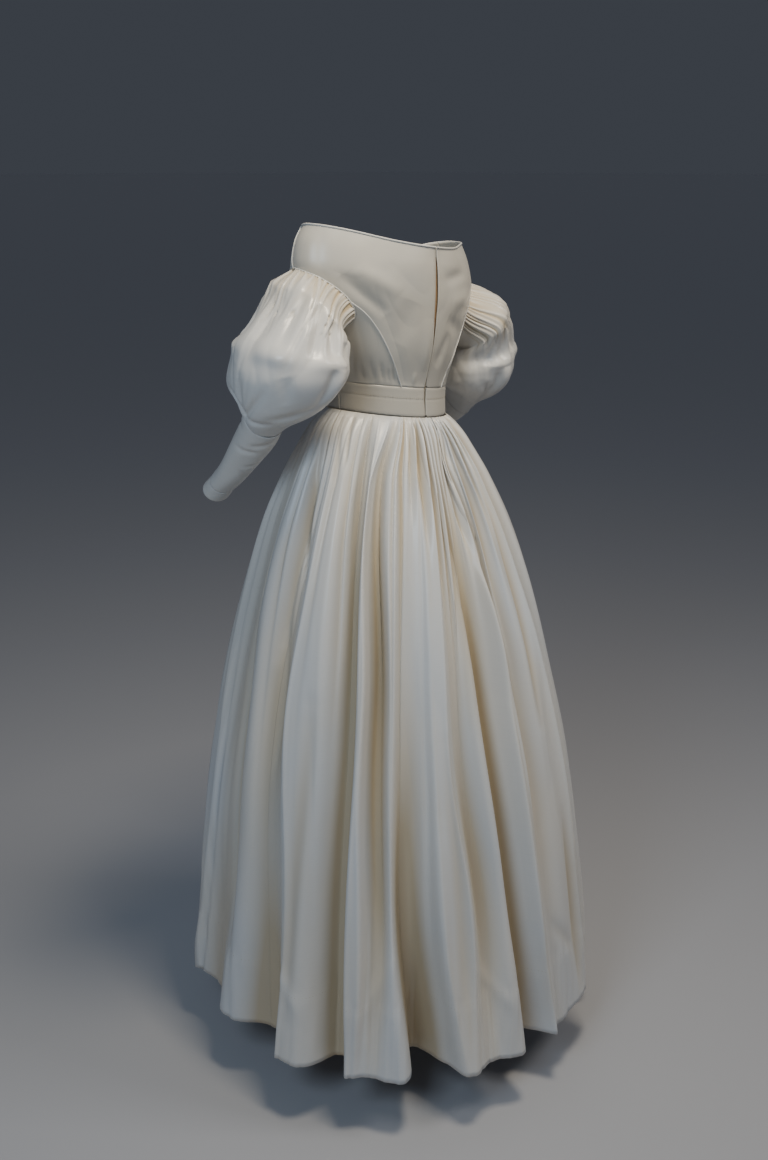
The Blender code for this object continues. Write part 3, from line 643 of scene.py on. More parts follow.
skirtCreases = [  # angle and drop
    Crease(5, 0.10, -2, 0.40, 0.009, -0.010), Crease(-1, 0.05, 8, 0.27, 0.008, -0.009),
    Crease(13, 0.02, 19, 0.11, 0.005, -0.006), Crease(20, 0.0, 24, 0.08, 0.004, -0.006),
    Crease(68, 0.0, 60, 0.15, 0.005, -0.006), Crease(72, 0.01, 66, 0.19, 0.005, -0.006),
    Crease(-19, 0.37, -12, 0.96, 0.014, -0.012), Crease(1, 0.33, 3, 0.60, 0.010, -0.008),
    Crease(60, 0.64, 59, 1.00, 0.012, 0.006), Crease(110, 0.10, 106, 0.52, 0.010, -0.010),
    Crease(113, 0.30, 117, 0.80, 0.012, 0.007), Crease(64, 0.50, 66, 1.05, 0.012, -0.006),
    Crease(34, 0.55, 36, 1.02, 0.014, 0.006), Crease(94, 0.60, 95, 1.05, 0.010, -0.007),
    Crease(20, 0.45, 15, 1.00, 0.016, -0.007), Crease(112, 0.70, 116, 1.06, 0.012, -0.009),
    Crease(133, 0.20, 137, 0.66, 0.010, -0.010), Crease(156, 0.08, 158, 0.50, 0.010, -0.010),
    Crease(140, 0.55, 139, 1.05, 0.014, 0.006), Crease(178, 0.15, 177, 0.80, 0.012, -0.009),
    Crease(200, 0.10, 202, 0.48, 0.010, -0.010), Crease(224, 0.12, 225, 0.60, 0.010, -0.009),
    Crease(248, 0.08, 250, 0.52, 0.010, -0.010), Crease(272, 0.10, 275, 0.64, 0.010, -0.009),
    Crease(296, 0.12, 299, 0.50, 0.010, -0.010), Crease(322, 0.14, 326, 0.66, 0.010, -0.009),
    Crease(228, 0.66, 230, 1.04, 0.014, 0.006), Crease(276, 0.70, 277, 1.05, 0.014, 0.006),
    Crease(46, 0.86, 37, 0.98, 0.012, 0.003), Crease(70, 0.90, 80, 0.99, 0.010, 0.003),
    Crease(100, 0.88, 112, 0.97, 0.012, -0.003), Crease(10, 0.90, 20, 0.99, 0.012, 0.003),
]
skirtWidths = {  # first and last fold, columns
    "skirt_left_side_back": ("left_side", "left_back_c", 190),
    "skirt_back": ("left_back_c", "right_back_a", 270),
    "skirt_right_side_back": ("right_back_a", "right_side_b", 150),
    "skirt_right_side_front": ("right_side_b", "right_front_b", 100),
    "skirt_front": ("right_front_b", "front_b", 90),
    "skirt_left_side_front": ("front_b", "left_side", 140),
}
skirt = {"rows": 124, "wall": 0.0012, "held": "gathered", "on": ["silk_waistband_front"], "cutLength": 1.12,
         "crowding": 0.56, "hemLine": 0.955, "underBand": 0.0002}
# pairs are for most of the skirt, then for the fine gathers at the centre back
pleat = {"uneven": 0.34, "steepSide": (0.07, 0.16), "softSide": (0.18, 0.34), "deeper": (0.85, 1.25),
         "push": 1.6, "atTop": 0.15, "sway": 0.30, "fine": (0.0006, 0.0026), "fineFade": 0.10,
         "gathersAt": 94, "gathersReach": 33, "darkest": 0.9}
valley = {"crispSide": 4.5, "softSide": 2.0, "push": 1.08, "lip": 0.09, "lipAt": 1.9, "lipWidth": 0.8,
          "edgeAt": 1.05, "fullDepth": 0.03, "pinch": 1.3, "groove": 0.0055, "grooveWidth": 0.7,
          "ridge": 0.0035, "ridgeAt": 1.6, "ridgeWidth": 0.9, "shadeDepth": 0.034}
skirtWear = {"hemTurning": 0.0008, "seamCalm": 9}
skirtRipples = [  # height, the drop where it starts, how long it takes to rise, and its pattern
    (0.0028, 0.0, 0.25, lambda a, d: ripple(a * 0.16, d * 2.2, 4)),
    (0.0016, 0.0, 0.30, lambda a, d: ripple(a * 0.42, d * 9, 11)),
    (0.0036, 0.1, 0.50, lambda a, d: crumple(a * 0.17, d * 3.0, 7) - 0.7),
    (0.0026, 0.9, 0.18, lambda a, d: np.sin(a * 0.55 + 2 * np.sin(a * 0.13))),
    (0.0011, 0.935, 0.02, lambda a, d: ripple(a * 1.7, d * 26, 21)),
]


def valleyTables(drop):
    angles, depths = [], []
    for n, fold in enumerate(folds):
        table = {"drop": foldDrops, "angle": [fold.waist, fold.high, fold.mid, fold.low, fold.hem],
                 "depth": [0, fold.deepHigh, fold.deepMid, fold.deepLow, fold.deepHem]}
        wander = 0.45 * ease(drop / 0.2) * np.sin(drop * (9 + 1.3 * (n % 5)) + 2.1 * n)
        angles.append(along(table, "angle", drop) + wander)
        depths.append(along(table, "depth", drop))
    return np.array(angles + [angles[0] + 360]), np.array(depths + [depths[0]])


def shortPleats(k, share, angle, drop):
    # narrow troughs between flat tops at the waist, each with its own length
    pleats = np.array([fold.pleats + 1 for fold in folds])[k]
    wander = pleat["uneven"] * np.sin(2 * math.pi * share) * np.sin(k * 1.9 + 0.7)
    phase = share * pleats + wander * np.minimum(pleats - 1, 1)
    nearest = np.round(phase)
    which = k * 7 + nearest * 3
    longer = 1 + 0.5 * np.sin(which * 2.3)
    depth = np.maximum(along(pleatDepth, "depth", np.clip(drop / longer, 0, 0.5)), 0)
    depth = depth * (1 + 0.5 * np.sin(which * 1.7 + 0.4))
    past = (phase - nearest) * np.where((angle % 360 > 95) & (angle % 360 < 265), -1, 1)
    centre = np.exp(-(((angle - pleat["gathersAt"]) / pleat["gathersReach"]) ** 4))
    trough = np.exp(-np.where(past > 0, past / mix(*pleat["steepSide"], centre),
                              -past / mix(*pleat["softSide"], centre)) ** 1.6)
    depth = depth * mix(*pleat["deeper"], centre)
    # the top edge stays under the waistband
    inward = depth * trough * pleat["push"] * mix(pleat["atTop"], 1, ease(drop / 0.014))
    sideways = pleat["sway"] * depth * np.sin(2 * math.pi * phase)
    fine = np.sin(2 * math.pi * phase * 2 + 1.9 * np.sin(which * 2.0) + 9 * drop)
    fine = fine * mix(*pleat["fine"], centre) * ease(drop / 0.012) * np.exp(-drop / pleat["fineFade"])
    # painted shade in the pleat troughs and between the fine gathers
    shade = np.clip(depth * trough**1.6 / 0.010 + fine / 0.0032, 0, pleat["darkest"])
    return inward + fine, sideways, shade


def skirtSurface(place, drop):
    # place counts folds round the skirt, one row of places for each drop; painted shade for the valleys and
    # creases comes back with the points
    angles, depths = valleyTables(drop)
    turns, part = np.divmod(place, len(folds))
    k = part.astype(int)
    share = part - k
    crowding = skirt["crowding"] * ease(drop / 0.38)
    crowded = share - crowding * np.sin(2 * math.pi * share) / (2 * math.pi)
    row = np.arange(len(drop))
    angle = mix(angles[k, row], angles[k + 1, row], crowded) + 360 * turns
    radius = along(bell, "radius", drop)

    inward, sideways, shade = shortPleats(k, share, angle, drop)
    for n, fold in enumerate(folds):
        off = (angle - angles[n] + 180) % 360 - 180
        slow = 1 + 0.35 * math.sin(2.6 * n) * np.sign(off)
        leans = math.sin(2.6 * n + 0.5)  # which side of the fold is steep
        steep = np.where(off * leans > 0, valley["crispSide"], valley["softSide"])
        shape = np.exp(-np.abs(off / (fold.spread * slow)) ** steep)
        deep = depths[n] * shape
        fromLip = np.abs(off) - valley["lipAt"] * fold.spread
        lip = valley["lip"] * depths[n] * hump(fromLip, valley["lipWidth"] * fold.spread)
        # the cloth turns in sharply along the steep side of each long fold
        fromEdge = off * math.copysign(1, leans) - valley["edgeAt"] * fold.spread * slow
        groove = valley["groove"] * hump(fromEdge, valley["grooveWidth"])
        ridge = valley["ridge"] * hump(fromEdge - valley["ridgeAt"], valley["ridgeWidth"])
        pinch = np.clip(depths[n] / valley["fullDepth"], 0, 1) * (groove - ridge)
        inward = inward + deep * valley["push"] - lip + valley["pinch"] * pinch
        sideways = sideways + fold.lean * deep
        # painted shade at the bottom of each long fold
        shade = np.maximum(shade, np.clip(deep * shape / valley["shadeDepth"], 0, 1) ** 1.4)
    angle = angle + np.degrees(sideways / radius)

    wrapped = (angle + 60) % 360 - 60
    relief = creaseRelief(skirtCreases, wrapped, drop, np.radians(radius), 1.0)
    inward = inward - relief
    # painted shade in the crease troughs
    shade = np.maximum(shade, np.clip(-relief / 0.012, 0, 0.75))
    # ripples die out beside the seam where the turn round the skirt starts again
    apart = ease(np.abs((angle - angles[0] + 180) % 360 - 180) / skirtWear["seamCalm"])
    for height, begins, length, pattern in skirtRipples:
        inward = inward - apart * height * pattern(wrapped, drop) * ease((drop - begins) / length)
    inward = inward - skirtWear["hemTurning"] * ease((drop - skirt["hemLine"]) / 0.004)

    across, deepness = np.cos(np.radians(angle)), np.sin(np.radians(angle))
    oval = along(bell, "oval", drop)
    x = (radius * (1 + oval) - inward) * across
    y = (radius * (1 - oval) - inward) * deepness
    bandZ = np.where(deepness > 0, torso["backZ"][0], torso["frontZ"][0])
    top = mix(torso["sideZ"][0], bandZ, deepness**2) + shoulderTilt * torso["halfWidth"][0] * across
    bottom = torso["backZ"][0] - skirtDrop + hemLift * (x - y + 0.5) ** 2
    z = mix(top - skirt["underBand"], bottom, drop / skirtDrop)
    return np.stack([x, y + along(bell, "centreY", drop), z], -1), shade


def onSkirt(start, end):
    def placeOf(across, up):
        return mix(start, end, across), skirtDrop * (1 - up)

    def pointAt(across, up):
        return skirtSurface(*placeOf(across, up))[0]

    def paintedShadeAt(across, up):
        return paintedShadeStrength["skirt"] * skirtSurface(*placeOf(across, up))[1]
    return pointAt, paintedShadeAt


# how strongly painted shade darkens the skirt valleys, the puff gathers and the top of each puff by the
# armhole
paintedShadeStrength = {"skirt": 0.82, "puff": 0.85, "puffTopShade": 0.22}
foldNames = [fold.name for fold in folds]
for node, (first, last, columns) in skirtWidths.items():
    start, end = foldNames.index(first), foldNames.index(last)
    end += len(folds) if end <= start else 0
    pointAt, paintedShadeAt = onSkirt(start, end)
    edge = skirtSurface(np.linspace(start, end, 400), np.full(400, skirtDrop))[0]
    cutWidth = float(np.linalg.norm(np.diff(edge, axis=0), axis=1).sum())
    spec = {**skirt, "node": node, "columns": columns, "cut": (cutWidth, skirt["cutLength"])}
    layCloth("silk_" + node, spec, pointAt, skirtSilk, paintedShadeAt=paintedShadeAt)
print("skirt laid")

# sleeves: rings along each arm, and the cap starts on the armhole

ringColumns = "along x y z aimX aimY aimZ back across gather"
Ring = namedtuple("Ring", ringColumns)
puffRings = {
    "left": [
        Ring(0.00, 0.183, 0.008, -0.103, 0.93, 0.00, -0.36, 0.060, 0.060, 0.0010),
        Ring(0.12, 0.204, 0.013, -0.110, 0.82, 0.00, -0.57, 0.082, 0.063, 0.0022),
        Ring(0.26, 0.218, 0.018, -0.132, 0.50, 0.00, -0.87, 0.093, 0.070, 0.0038),
        Ring(0.42, 0.235, 0.022, -0.168, 0.17, 0.00, -0.98, 0.098, 0.087, 0.0030),
        Ring(0.58, 0.242, 0.023, -0.205, 0.03, -0.03, -1.00, 0.097, 0.096, 0.0008),
        Ring(0.74, 0.248, 0.010, -0.235, -0.06, -0.25, -0.97, 0.081, 0.083, 0.0004),
        Ring(0.88, 0.262, -0.002, -0.256, -0.12, -0.62, -0.78, 0.050, 0.056, 0.0010),
        Ring(1.00, 0.265, -0.013, -0.278, -0.12, -0.79, -0.60, 0.035, 0.036, 0.0010),
    ],
    "right": [
        Ring(0.00, -0.176, 0.008, -0.146, -0.93, 0.00, -0.36, 0.060, 0.060, 0.0010),
        Ring(0.12, -0.191, 0.010, -0.151, -0.82, -0.03, -0.57, 0.080, 0.061, 0.0022),
        Ring(0.26, -0.206, 0.003, -0.172, -0.50, -0.08, -0.87, 0.086, 0.066, 0.0038),
        Ring(0.42, -0.221, -0.010, -0.206, -0.17, -0.10, -0.98, 0.086, 0.077, 0.0030),
        Ring(0.58, -0.225, -0.014, -0.240, -0.03, -0.10, -1.00, 0.086, 0.082, 0.0008),
        Ring(0.74, -0.227, -0.022, -0.267, 0.00, -0.20, -0.97, 0.075, 0.075, 0.0004),
        Ring(0.88, -0.237, -0.042, -0.284, 0.12, -0.62, -0.77, 0.048, 0.050, 0.0010),
        Ring(1.00, -0.238, -0.053, -0.307, 0.20, -0.80, -0.58, 0.036, 0.037, 0.0010),
    ],
}
lowerRings = {
    "left": [
        Ring(0.00, 0.265, -0.013, -0.278, -0.12, -0.79, -0.60, 0.035, 0.036, 0.0),
        Ring(0.22, 0.257, -0.041, -0.308, -0.12, -0.79, -0.60, 0.033, 0.035, 0.0),
        Ring(0.55, 0.250, -0.087, -0.352, -0.12, -0.79, -0.60, 0.028, 0.031, 0.0),
        Ring(0.85, 0.246, -0.130, -0.391, -0.12, -0.79, -0.60, 0.023, 0.027, 0.0),
        Ring(1.00, 0.244, -0.152, -0.408, -0.12, -0.79, -0.60, 0.021, 0.026, 0.0),
    ],
    "right": [
        Ring(0.00, -0.238, -0.053, -0.307, 0.20, -0.80, -0.58, 0.036, 0.037, 0.0),
        Ring(0.22, -0.227, -0.087, -0.337, 0.20, -0.80, -0.58, 0.034, 0.036, 0.0),
        Ring(0.55, -0.216, -0.136, -0.378, 0.20, -0.80, -0.58, 0.028, 0.031, 0.0),
        Ring(0.85, -0.206, -0.181, -0.413, 0.20, -0.80, -0.58, 0.023, 0.027, 0.0),
        Ring(1.00, -0.200, -0.203, -0.430, 0.20, -0.80, -0.58, 0.021, 0.026, 0.0),
    ],
}
sleeve = {"capBlend": 0.16, "standsOff": 0.0006, "startSize": 0.992, "gathers": 16, "gathersFrom": 40,
          "gatherSizes": (1.3, 0.5, 1.0, 0.4, 1.2, 0.8, 0.6), "wall": 0.0012, "held": "gathered",
          "endsAt": 0.12, "endsVary": 0.11, "fade": 0.20, "ridge": 2.4, "valley": 1.5, "small": 1.3,
          "smallFade": 0.11, "facetsHigh": 0.0065, "facetsLow": 0.0030, "tubeGap": 0.15, "creaseLength": 0.30}


def unit(vector):
    return vector / np.linalg.norm(vector, axis=-1, keepdims=True)


def sleeveTable(rings):
    table = {name: [getattr(ring, name) for ring in rings] for name in Ring._fields}
    back, backs = np.array([0.0, 1.0, 0.0]), []
    for ring in rings:
        aim = unit(np.array([ring.aimX, ring.aimY, ring.aimZ]))
        back = unit(back - aim * back.dot(aim))
        backs.append(back)
    for n, name in enumerate(("backX", "backY", "backZ")):
        table[name] = [b[n] for b in backs]
    return table


def gatherShape(turn, reach, seed):
    # rounded ridges over narrow valleys; each gather runs its own way down the sleeve
    share = (turn - sleeve["gathersFrom"]) / (360 - 2 * sleeve["gathersFrom"])
    inside = (share > 0) & (share < 1)
    share = np.clip(share, 0, 0.99999)
    whole = 2 * math.pi * share
    uneven = 0.50 * np.sin(whole * 3 + seed) + 0.34 * np.sin(whole * 7 + 5 * reach + 2 * seed)
    uneven = uneven + 0.22 * np.sin(whole * 11 - 9 * reach + 3 * seed)
    gathers, sizes = sleeve["gathers"], np.array(sleeve["gatherSizes"])
    phase = np.clip(gathers * share + uneven * np.sin(math.pi * share), 0, gathers - 0.001)
    which = phase.astype(int)
    size = sizes[(which * 3 + seed) % len(sizes)]
    ends = sleeve["endsAt"] + sleeve["endsVary"] * np.sin(which * 2.7 + 0.6)
    lasting = 1 - ease((reach - ends) / sleeve["fade"])
    ridge = size * (sleeve["ridge"] * np.abs(np.sin(math.pi * phase)) ** 0.6 - sleeve["valley"])
    small = np.sin(2 * math.pi * phase * 2.37 + 1.1 * which)
    small = sleeve["small"] * small * np.exp(-reach / sleeve["smallFade"])
    # painted shade in the gather valleys while they last, and in the small gathers near the armhole
    gatherShade = np.clip((0.3 - ridge) / 1.7, 0, 1) * lasting + 0.6 * np.clip(-small, 0, 1)
    return np.where(inside, ridge * lasting + small, 0), np.where(inside, gatherShade, 0)


def sleeveForm(rings, side, swell, seed, creases=(), fromArmhole=False):
    table = sleeveTable(rings)
    facing = 1 if side == "left" else -1

    def form(turn, reach):
        def vector(*names):
            return np.stack([along(table, name, reach) for name in names], -1)
        centre = vector("x", "y", "z")
        aim = unit(vector("aimX", "aimY", "aimZ"))
        back = vector("backX", "backY", "backZ")
        back = unit(back - aim * (back * aim).sum(-1, keepdims=True))
        over = np.cross(aim, back) * facing
        angle = np.radians(turn)[..., None]
        wide, high = along(table, "back", reach)[..., None], along(table, "across", reach)[..., None]
        point = centre + back * wide * np.sin(angle) - over * high * np.cos(angle)
        if fromArmhole:
            rim = hole(turn, sleeve["startSize"])
            rimAngle = rim[..., 0] if facing > 0 else 180 - rim[..., 0]
            edge = torsoPoint(rimAngle, rim[..., 1]) + torsoOut(rimAngle, rim[..., 1]) * sleeve["standsOff"]
            share = np.clip(reach / sleeve["capBlend"], 0, 1)
            point = mix(edge, point, (share * (2 - share))[..., None])
        radial = unit(point - centre)
        sine, cosine = np.sin(np.radians(turn)), np.cos(np.radians(turn))
        perDegree = np.radians(1) * (wide + high)[..., 0] / 2
        lift = creaseRelief(creases, turn, reach, perDegree, sleeve["creaseLength"])
        lift = lift + swell * ripple(sine * 3 + 2 * seed, reach * 7 + cosine * 3, seed) * ease(reach / 0.3)
        if fromArmhole:
            lift = lift + along(table, "gather", reach) * gatherShape(turn, reach, seed)[0]
            facets = crumple(sine * 4 + seed, reach * 4 + cosine * 4, seed) - 0.75
            strength = mix(sleeve["facetsHigh"], sleeve["facetsLow"], ease((reach - 0.40) / 0.15))
            ends = ease((reach - 0.08) / 0.2) * (1 - ease((reach - 0.85) / 0.12))
            lift = lift + strength * facets * ends
        return point + radial * lift[..., None]
    return form


def tubeTurn(across):
    # the cloth's two long edges stop a hair apart under the arm
    return mix(sleeve["tubeGap"], 360 - sleeve["tubeGap"], across)


puffCreases = {  # degrees from under the arm by the back, and share along
    "left": [
        Crease(206, 0.12, 232, 0.40, 0.046, -0.017), Crease(168, 0.16, 176, 0.40, 0.014, -0.008),
        Crease(142, 0.15, 147, 0.42, 0.009, -0.007), Crease(119, 0.16, 112, 0.45, 0.011, -0.008),
        Crease(95, 0.20, 88, 0.46, 0.012, -0.008), Crease(70, 0.30, 63, 0.52, 0.011, -0.006),
        Crease(58, 0.48, 118, 0.47, 0.015, 0.006), Crease(124, 0.46, 178, 0.43, 0.015, 0.007),
        Crease(182, 0.43, 246, 0.40, 0.016, 0.006), Crease(76, 0.50, 82, 0.74, 0.013, 0.008),
        Crease(88, 0.50, 92, 0.70, 0.008, -0.005), Crease(176, 0.91, 152, 0.62, 0.007, -0.005),
        Crease(178, 0.91, 186, 0.58, 0.007, -0.004), Crease(176, 0.91, 208, 0.68, 0.008, -0.005),
        Crease(172, 0.90, 126, 0.83, 0.007, -0.005), Crease(140, 0.80, 92, 0.73, 0.007, -0.005),
        Crease(136, 0.55, 128, 0.70, 0.012, -0.004), Crease(230, 0.20, 240, 0.50, 0.011, -0.007),
        Crease(262, 0.20, 266, 0.52, 0.011, -0.007), Crease(292, 0.26, 290, 0.56, 0.011, -0.006),
        Crease(250, 0.44, 304, 0.46, 0.015, 0.006), Crease(240, 0.72, 262, 0.86, 0.009, -0.005),
        Crease(288, 0.60, 276, 0.80, 0.010, -0.005),
    ],
    "right": [
        Crease(190, 0.14, 150, 0.36, 0.036, -0.007), Crease(116, 0.16, 108, 0.44, 0.012, -0.008),
        Crease(138, 0.16, 132, 0.42, 0.010, -0.007), Crease(90, 0.20, 84, 0.46, 0.012, -0.009),
        Crease(68, 0.26, 62, 0.50, 0.011, -0.007), Crease(164, 0.18, 170, 0.44, 0.010, -0.006),
        Crease(52, 0.50, 104, 0.47, 0.015, 0.006), Crease(108, 0.46, 166, 0.43, 0.015, 0.006),
        Crease(92, 0.52, 100, 0.76, 0.012, 0.007), Crease(78, 0.56, 84, 0.78, 0.008, -0.006),
        Crease(112, 0.62, 132, 0.80, 0.008, -0.005), Crease(60, 0.66, 96, 0.86, 0.009, -0.006),
        Crease(140, 0.74, 160, 0.88, 0.010, 0.005), Crease(196, 0.20, 204, 0.50, 0.011, -0.007),
        Crease(224, 0.22, 230, 0.52, 0.011, -0.007), Crease(256, 0.20, 262, 0.52, 0.011, -0.006),
        Crease(288, 0.26, 284, 0.56, 0.011, -0.006), Crease(172, 0.42, 240, 0.42, 0.015, 0.006),
        Crease(214, 0.66, 236, 0.84, 0.009, -0.005), Crease(250, 0.72, 268, 0.88, 0.010, -0.005),
    ],
}
lowerCreases = {
    "left": [Crease(80, 0.06, 150, 0.20, 0.007, -0.0035), Crease(120, 0.24, 190, 0.34, 0.007, -0.003),
             Crease(60, 0.38, 130, 0.50, 0.006, -0.003), Crease(140, 0.55, 80, 0.70, 0.005, -0.002),
             Crease(200, 0.10, 280, 0.24, 0.007, -0.003), Crease(240, 0.44, 310, 0.56, 0.006, -0.003)],
    "right": [Crease(70, 0.08, 150, 0.22, 0.007, -0.0035), Crease(110, 0.30, 180, 0.42, 0.007, -0.003),
              Crease(150, 0.52, 90, 0.64, 0.006, -0.0025), Crease(210, 0.12, 290, 0.26, 0.007, -0.003),
              Crease(230, 0.46, 300, 0.60, 0.006, -0.003)],
}
cuff = {"length": 0.030, "flare": 0.0012}
sleeveCloth = {  # each piece, what it hangs from, and its cloth
    "sleeve_puff_": {"from": "silk_bodice_back_", "columns": 230, "rows": 110, "cut": (0.60, 0.30),
                     "area": 0.145},
    "sleeve_lower_": {"from": "silk_sleeve_puff_", "columns": 80, "rows": 64, "cut": (0.24, 0.19)},
    "cuff_": {"from": "silk_sleeve_lower_", "columns": 80, "rows": 14, "cut": (0.155, 0.03),
              "held": "stretched"},
}
puffSeeds = {"left": 2, "right": 6}


def cuffRings(last):
    step = unit(np.array([last.aimX, last.aimY, last.aimZ])) * cuff["length"]
    mouth = last._replace(along=1.0, x=last.x + step[0], y=last.y + step[1], z=last.z + step[2],
                          back=last.back + cuff["flare"], across=last.across + cuff["flare"])
    return [last._replace(along=0.0), mouth]


def layTube(kind, side, form, paintedShadeAt=None):
    cloth = {**sleeve, **sleeveCloth[kind], "node": kind + side, "on": [sleeveCloth[kind]["from"] + side]}
    layCloth("silk_" + kind + side, cloth, lambda across, up: form(tubeTurn(across), up), sleeveSilk,
             turned=side == "right", paintedShadeAt=paintedShadeAt)


for side, seed in puffSeeds.items():
    def puffPaintedShade(across, up, seed=seed):
        # painted shade in the gather valleys, and painted shade over the top of the puff by the armhole,
        # fading out in the upper part of the puff
        gathered = gatherShape(tubeTurn(across), up, seed)[1] * (1 - ease((up - 0.15) / 0.35))
        shadeNearArmhole = paintedShadeStrength["puffTopShade"] * (1 - ease((up - 0.1) / 0.3))
        return np.clip(paintedShadeStrength["puff"] * gathered + shadeNearArmhole, 0, 1)

    puff = sleeveForm(puffRings[side], side, 0.0022, seed, puffCreases[side], fromArmhole=True)
    layTube("sleeve_puff_", side, puff, puffPaintedShade)
    layTube("sleeve_lower_", side, sleeveForm(lowerRings[side], side, 0.0008, 4, lowerCreases[side]))
    layTube("cuff_", side, sleeveForm(cuffRings(lowerRings[side][-1]), side, 0.0002, 5))
print("sleeves laid")

# corded seams

piping = {"radius": 0.0011, "neckRadius": 0.0016, "neckLift": 0.0004, "armholeLift": 0.0010}


def seamPoints(edge, count, right=False, lift=0.0006, first=0.0, last=1.0):
    spots = edge(np.linspace(first, last, count))
    angle, level = spots[..., 0], spots[..., 1]
    angle = 180 - angle if right else angle
    out = torsoOut(angle, level)
    return torsoPoint(angle, level) + out * (bodiceRelief(angle, level) + lift)[..., None], out


def roundNeck(first, last):
    return lambda share: np.stack([mix(first, last, share), np.full(np.shape(share), 0.998)], -1)


def layNeck(name, first, last, count, node, right=False):
    points = seamPoints(roundNeck(first, last), count, right, lift=piping["neckLift"])[0]
    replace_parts(layPiping(name, points, piping["neckRadius"], cordSilk), node)


for side in ("left", "right"):
    right = side == "right"
    seams = {
        "side_back": seamPoints(sideBackEdge, 40, right)[0],
        "shoulder": seamPoints(shoulderEdge, 20, right, first=0.03)[0],
        "armhole": seamPoints(lambda share: hole(360 * share, 1.01), 96, right, lift=piping["armholeLift"])[0],
    }
    for seam, points in seams.items():
        layPiping("piping_" + seam + "_" + side, points, piping["radius"], cordSilk)
    layNeck("piping_neck_back_" + side, shoulderSeamAngle, centreBack - 0.5, 60,
            "neck_binding_back_" + side, right)
layNeck("piping_neck_front", -180 - shoulderSeamAngle, shoulderSeamAngle, 90, "neck_binding_front")

# stitching
# pitch, length and thickness of the threads
stitches = {"waistband": (0.0042, 0.0028, 0.0007), "hem": (0.0065, 0.0022, 0.0006),
            "opening": (0.0036, 0.0022, 0.0005), "aboveTuck": 0.006, "fromEdge": 1.6}
bandLine = np.linspace(0, 1, 300)
for name, first, last in (("left", sideSeamAngle, 88.6), ("right", 91.4, 180), ("front", -180, 0)):
    angle = mix(first, last, bandLine)
    level = np.full(300, waistband["stitchLevel"] + stitches["aboveTuck"])
    out = torsoOut(angle, level)
    points = torsoPoint(angle, level) + out * (bandRelief(angle, level) + bandWear["standsOff"])[..., None]
    sewStitches("stitches_waistband_" + name, points, out, *stitches["waistband"], threadMaterial)
hemPlaces, hemDrops = np.linspace(0, len(folds), 2400), np.full(2400, skirt["hemLine"])
hemPoints = skirtSurface(hemPlaces, hemDrops)[0]
hemAhead = skirtSurface(hemPlaces + 0.004, hemDrops)[0]
hemBelow = skirtSurface(hemPlaces, hemDrops - 0.002)[0]
hemOut = unit(np.cross(hemAhead - hemPoints, hemBelow - hemPoints))
sewStitches("stitches_hem", hemPoints, hemOut, *stitches["hem"], threadMaterial)


def besideOpening(share):
    return openingAt(mix(0.02, 0.985, share)) - [stitches["fromEdge"], 0]


for side in ("left", "right"):
    points, out = seamPoints(besideOpening, 160, side == "right", lift=0.0)
    sewStitches("stitches_back_opening_" + side, points, out, *stitches["opening"], threadMaterial)

hooks = {"levels": [0.01, -0.19], "half": (0.0026, 0.0009, 0.0014), "standsOut": 0.0016,
         "metal": (0.11, 0.10, 0.09, 1)}
hookMetal = makePlain("hookMetal", hooks["metal"], 0.45, metallic=0.8)
for name, level in zip(("upper", "lower"), hooks["levels"]):
    seat = torsoPoint(np.array([centreBack]), np.array([level]))[0]
    bar = bmesh.new()
    place = Matrix.Diagonal((*hooks["half"], 1))
    place.translation = (seat[0], seat[1] + hooks["standsOut"], seat[2])
    bmesh.ops.create_uvsphere(bar, u_segments=16, v_segments=10, radius=1, matrix=place)
    mesh = bpy.data.meshes.new("hook_" + name)
    bar.to_mesh(mesh)
    bar.free()
    addPiece("hook_" + name, mesh, hookMetal)
print("seams, stitches and hooks sewn")

bpy.data.objects["back_underlap"].material_slots[0].material = tapeMaterial

# floor, light and camera

studio = {"floorZ": -1.488, "floor": (0.42, 0.42, 0.44, 1), "floorRoughness": 0.8, "floorSize": 400,
          "air": (0.27, 0.30, 0.36, 1), "airStrength": 0.36, "farWall": (0.0485, 0.0544, 0.0672, 1),
          "lightsAimAt": (0, 0, -0.55)}
bpy.ops.mesh.primitive_plane_add(size=studio["floorSize"], location=(0, 0, studio["floorZ"]))
floor = bpy.context.object
floor.name = "floor"
floorMaterial = bpy.data.materials.new("paleFloor")
floorMaterial.use_nodes = True
floorShader = floorMaterial.node_tree.nodes["Principled BSDF"]
floorShader.inputs["Base Color"].default_value = studio["floor"]
floorShader.inputs["Roughness"].default_value = studio["floorRoughness"]
floor.data.materials.append(floorMaterial)

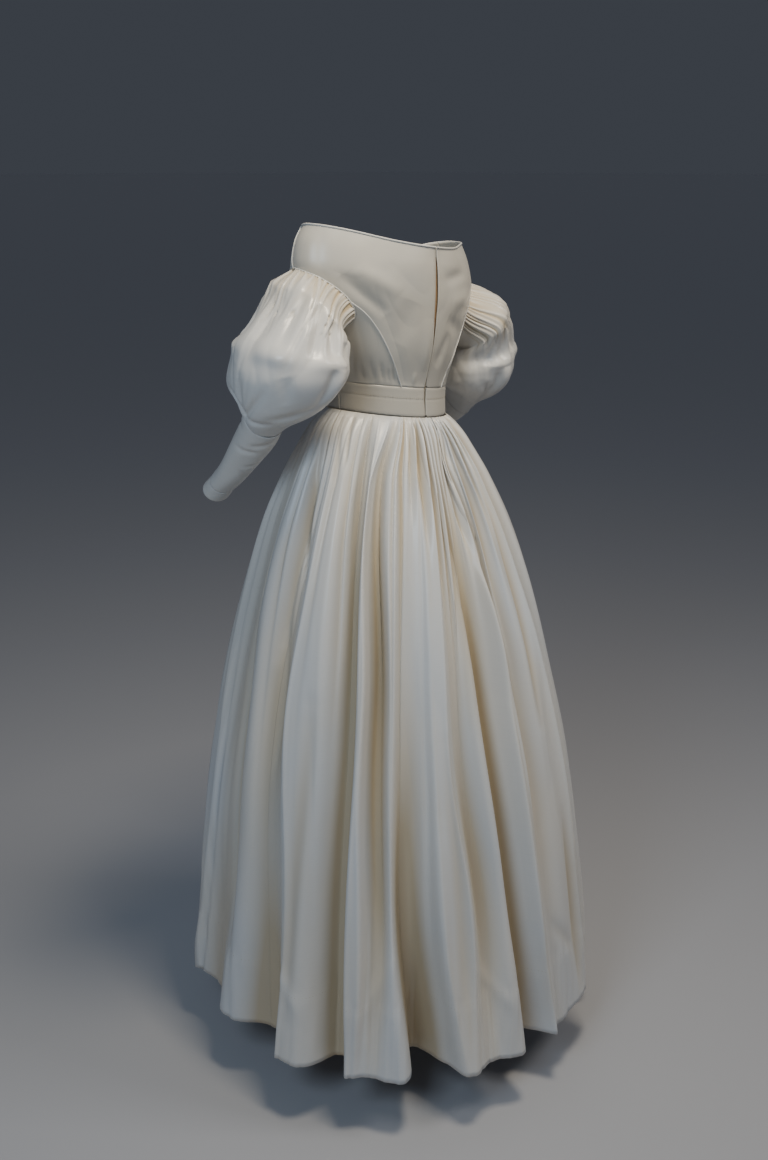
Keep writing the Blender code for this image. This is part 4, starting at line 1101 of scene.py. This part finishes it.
world = bpy.data.worlds.new("studioAir")
world.use_nodes = True
airNodes, airLinks = world.node_tree.nodes, world.node_tree.links
airNodes["Background"].inputs["Color"].default_value = studio["air"]
airNodes["Background"].inputs["Strength"].default_value = studio["airStrength"]
# the far wall shows as dark as the floor in the distance, so no horizon stands out
farWall = airNodes.new("ShaderNodeBackground")
farWall.inputs["Color"].default_value = studio["farWall"]
seen, eitherAir = airNodes.new("ShaderNodeLightPath"), airNodes.new("ShaderNodeMixShader")
airLinks.new(seen.outputs["Is Camera Ray"], eitherAir.inputs["Fac"])
airLinks.new(airNodes["Background"].outputs["Background"], eitherAir.inputs[1])
airLinks.new(farWall.outputs["Background"], eitherAir.inputs[2])
airLinks.new(eitherAir.outputs["Shader"], airNodes["World Output"].inputs["Surface"])
bpy.context.scene.world = world

lights = {
    "coolWindow": {"at": (2.2, 0.95, 0.72), "size": 0.9, "watts": 25, "colour": (0.66, 0.82, 1.0)},
    "warmTop": {"at": (0.25, 0.70, 1.20), "size": 0.4, "watts": 28, "colour": (1.0, 0.89, 0.70)},
    "paleRight": {"at": (-0.9, 1.7, 1.2), "size": 0.7, "watts": 17, "colour": (1.0, 0.98, 0.95)},
}
for name, lamp in lights.items():
    data = bpy.data.lights.new(name, "AREA")
    data.size = lamp["size"]
    data.energy = lamp["watts"]
    data.color = lamp["colour"]
    obj = bpy.data.objects.new(name, data)
    obj.location = lamp["at"]
    aim = Vector(studio["lightsAimAt"]) - Vector(lamp["at"])
    obj.rotation_euler = aim.to_track_quat("-Z", "Y").to_euler()
    bpy.context.scene.collection.objects.link(obj)

view = {"distance": 2.30, "turn": 135, "height": 1.60, "down": 17.3,
        "lens": 41.5, "sensor": 36, "shift": -0.0026}
camera = bpy.data.objects.new("camera", bpy.data.cameras.new("camera"))
camera.data.lens = view["lens"]
camera.data.sensor_width = view["sensor"]
camera.data.shift_x = view["shift"]
turn = math.radians(view["turn"])
camera.location = (view["distance"] * math.sin(turn), -view["distance"] * math.cos(turn),
                   view["height"] + studio["floorZ"])
camera.rotation_euler = (math.radians(90 - view["down"]), 0, turn)
bpy.context.scene.collection.objects.link(camera)
bpy.context.scene.camera = camera
print("studio set")
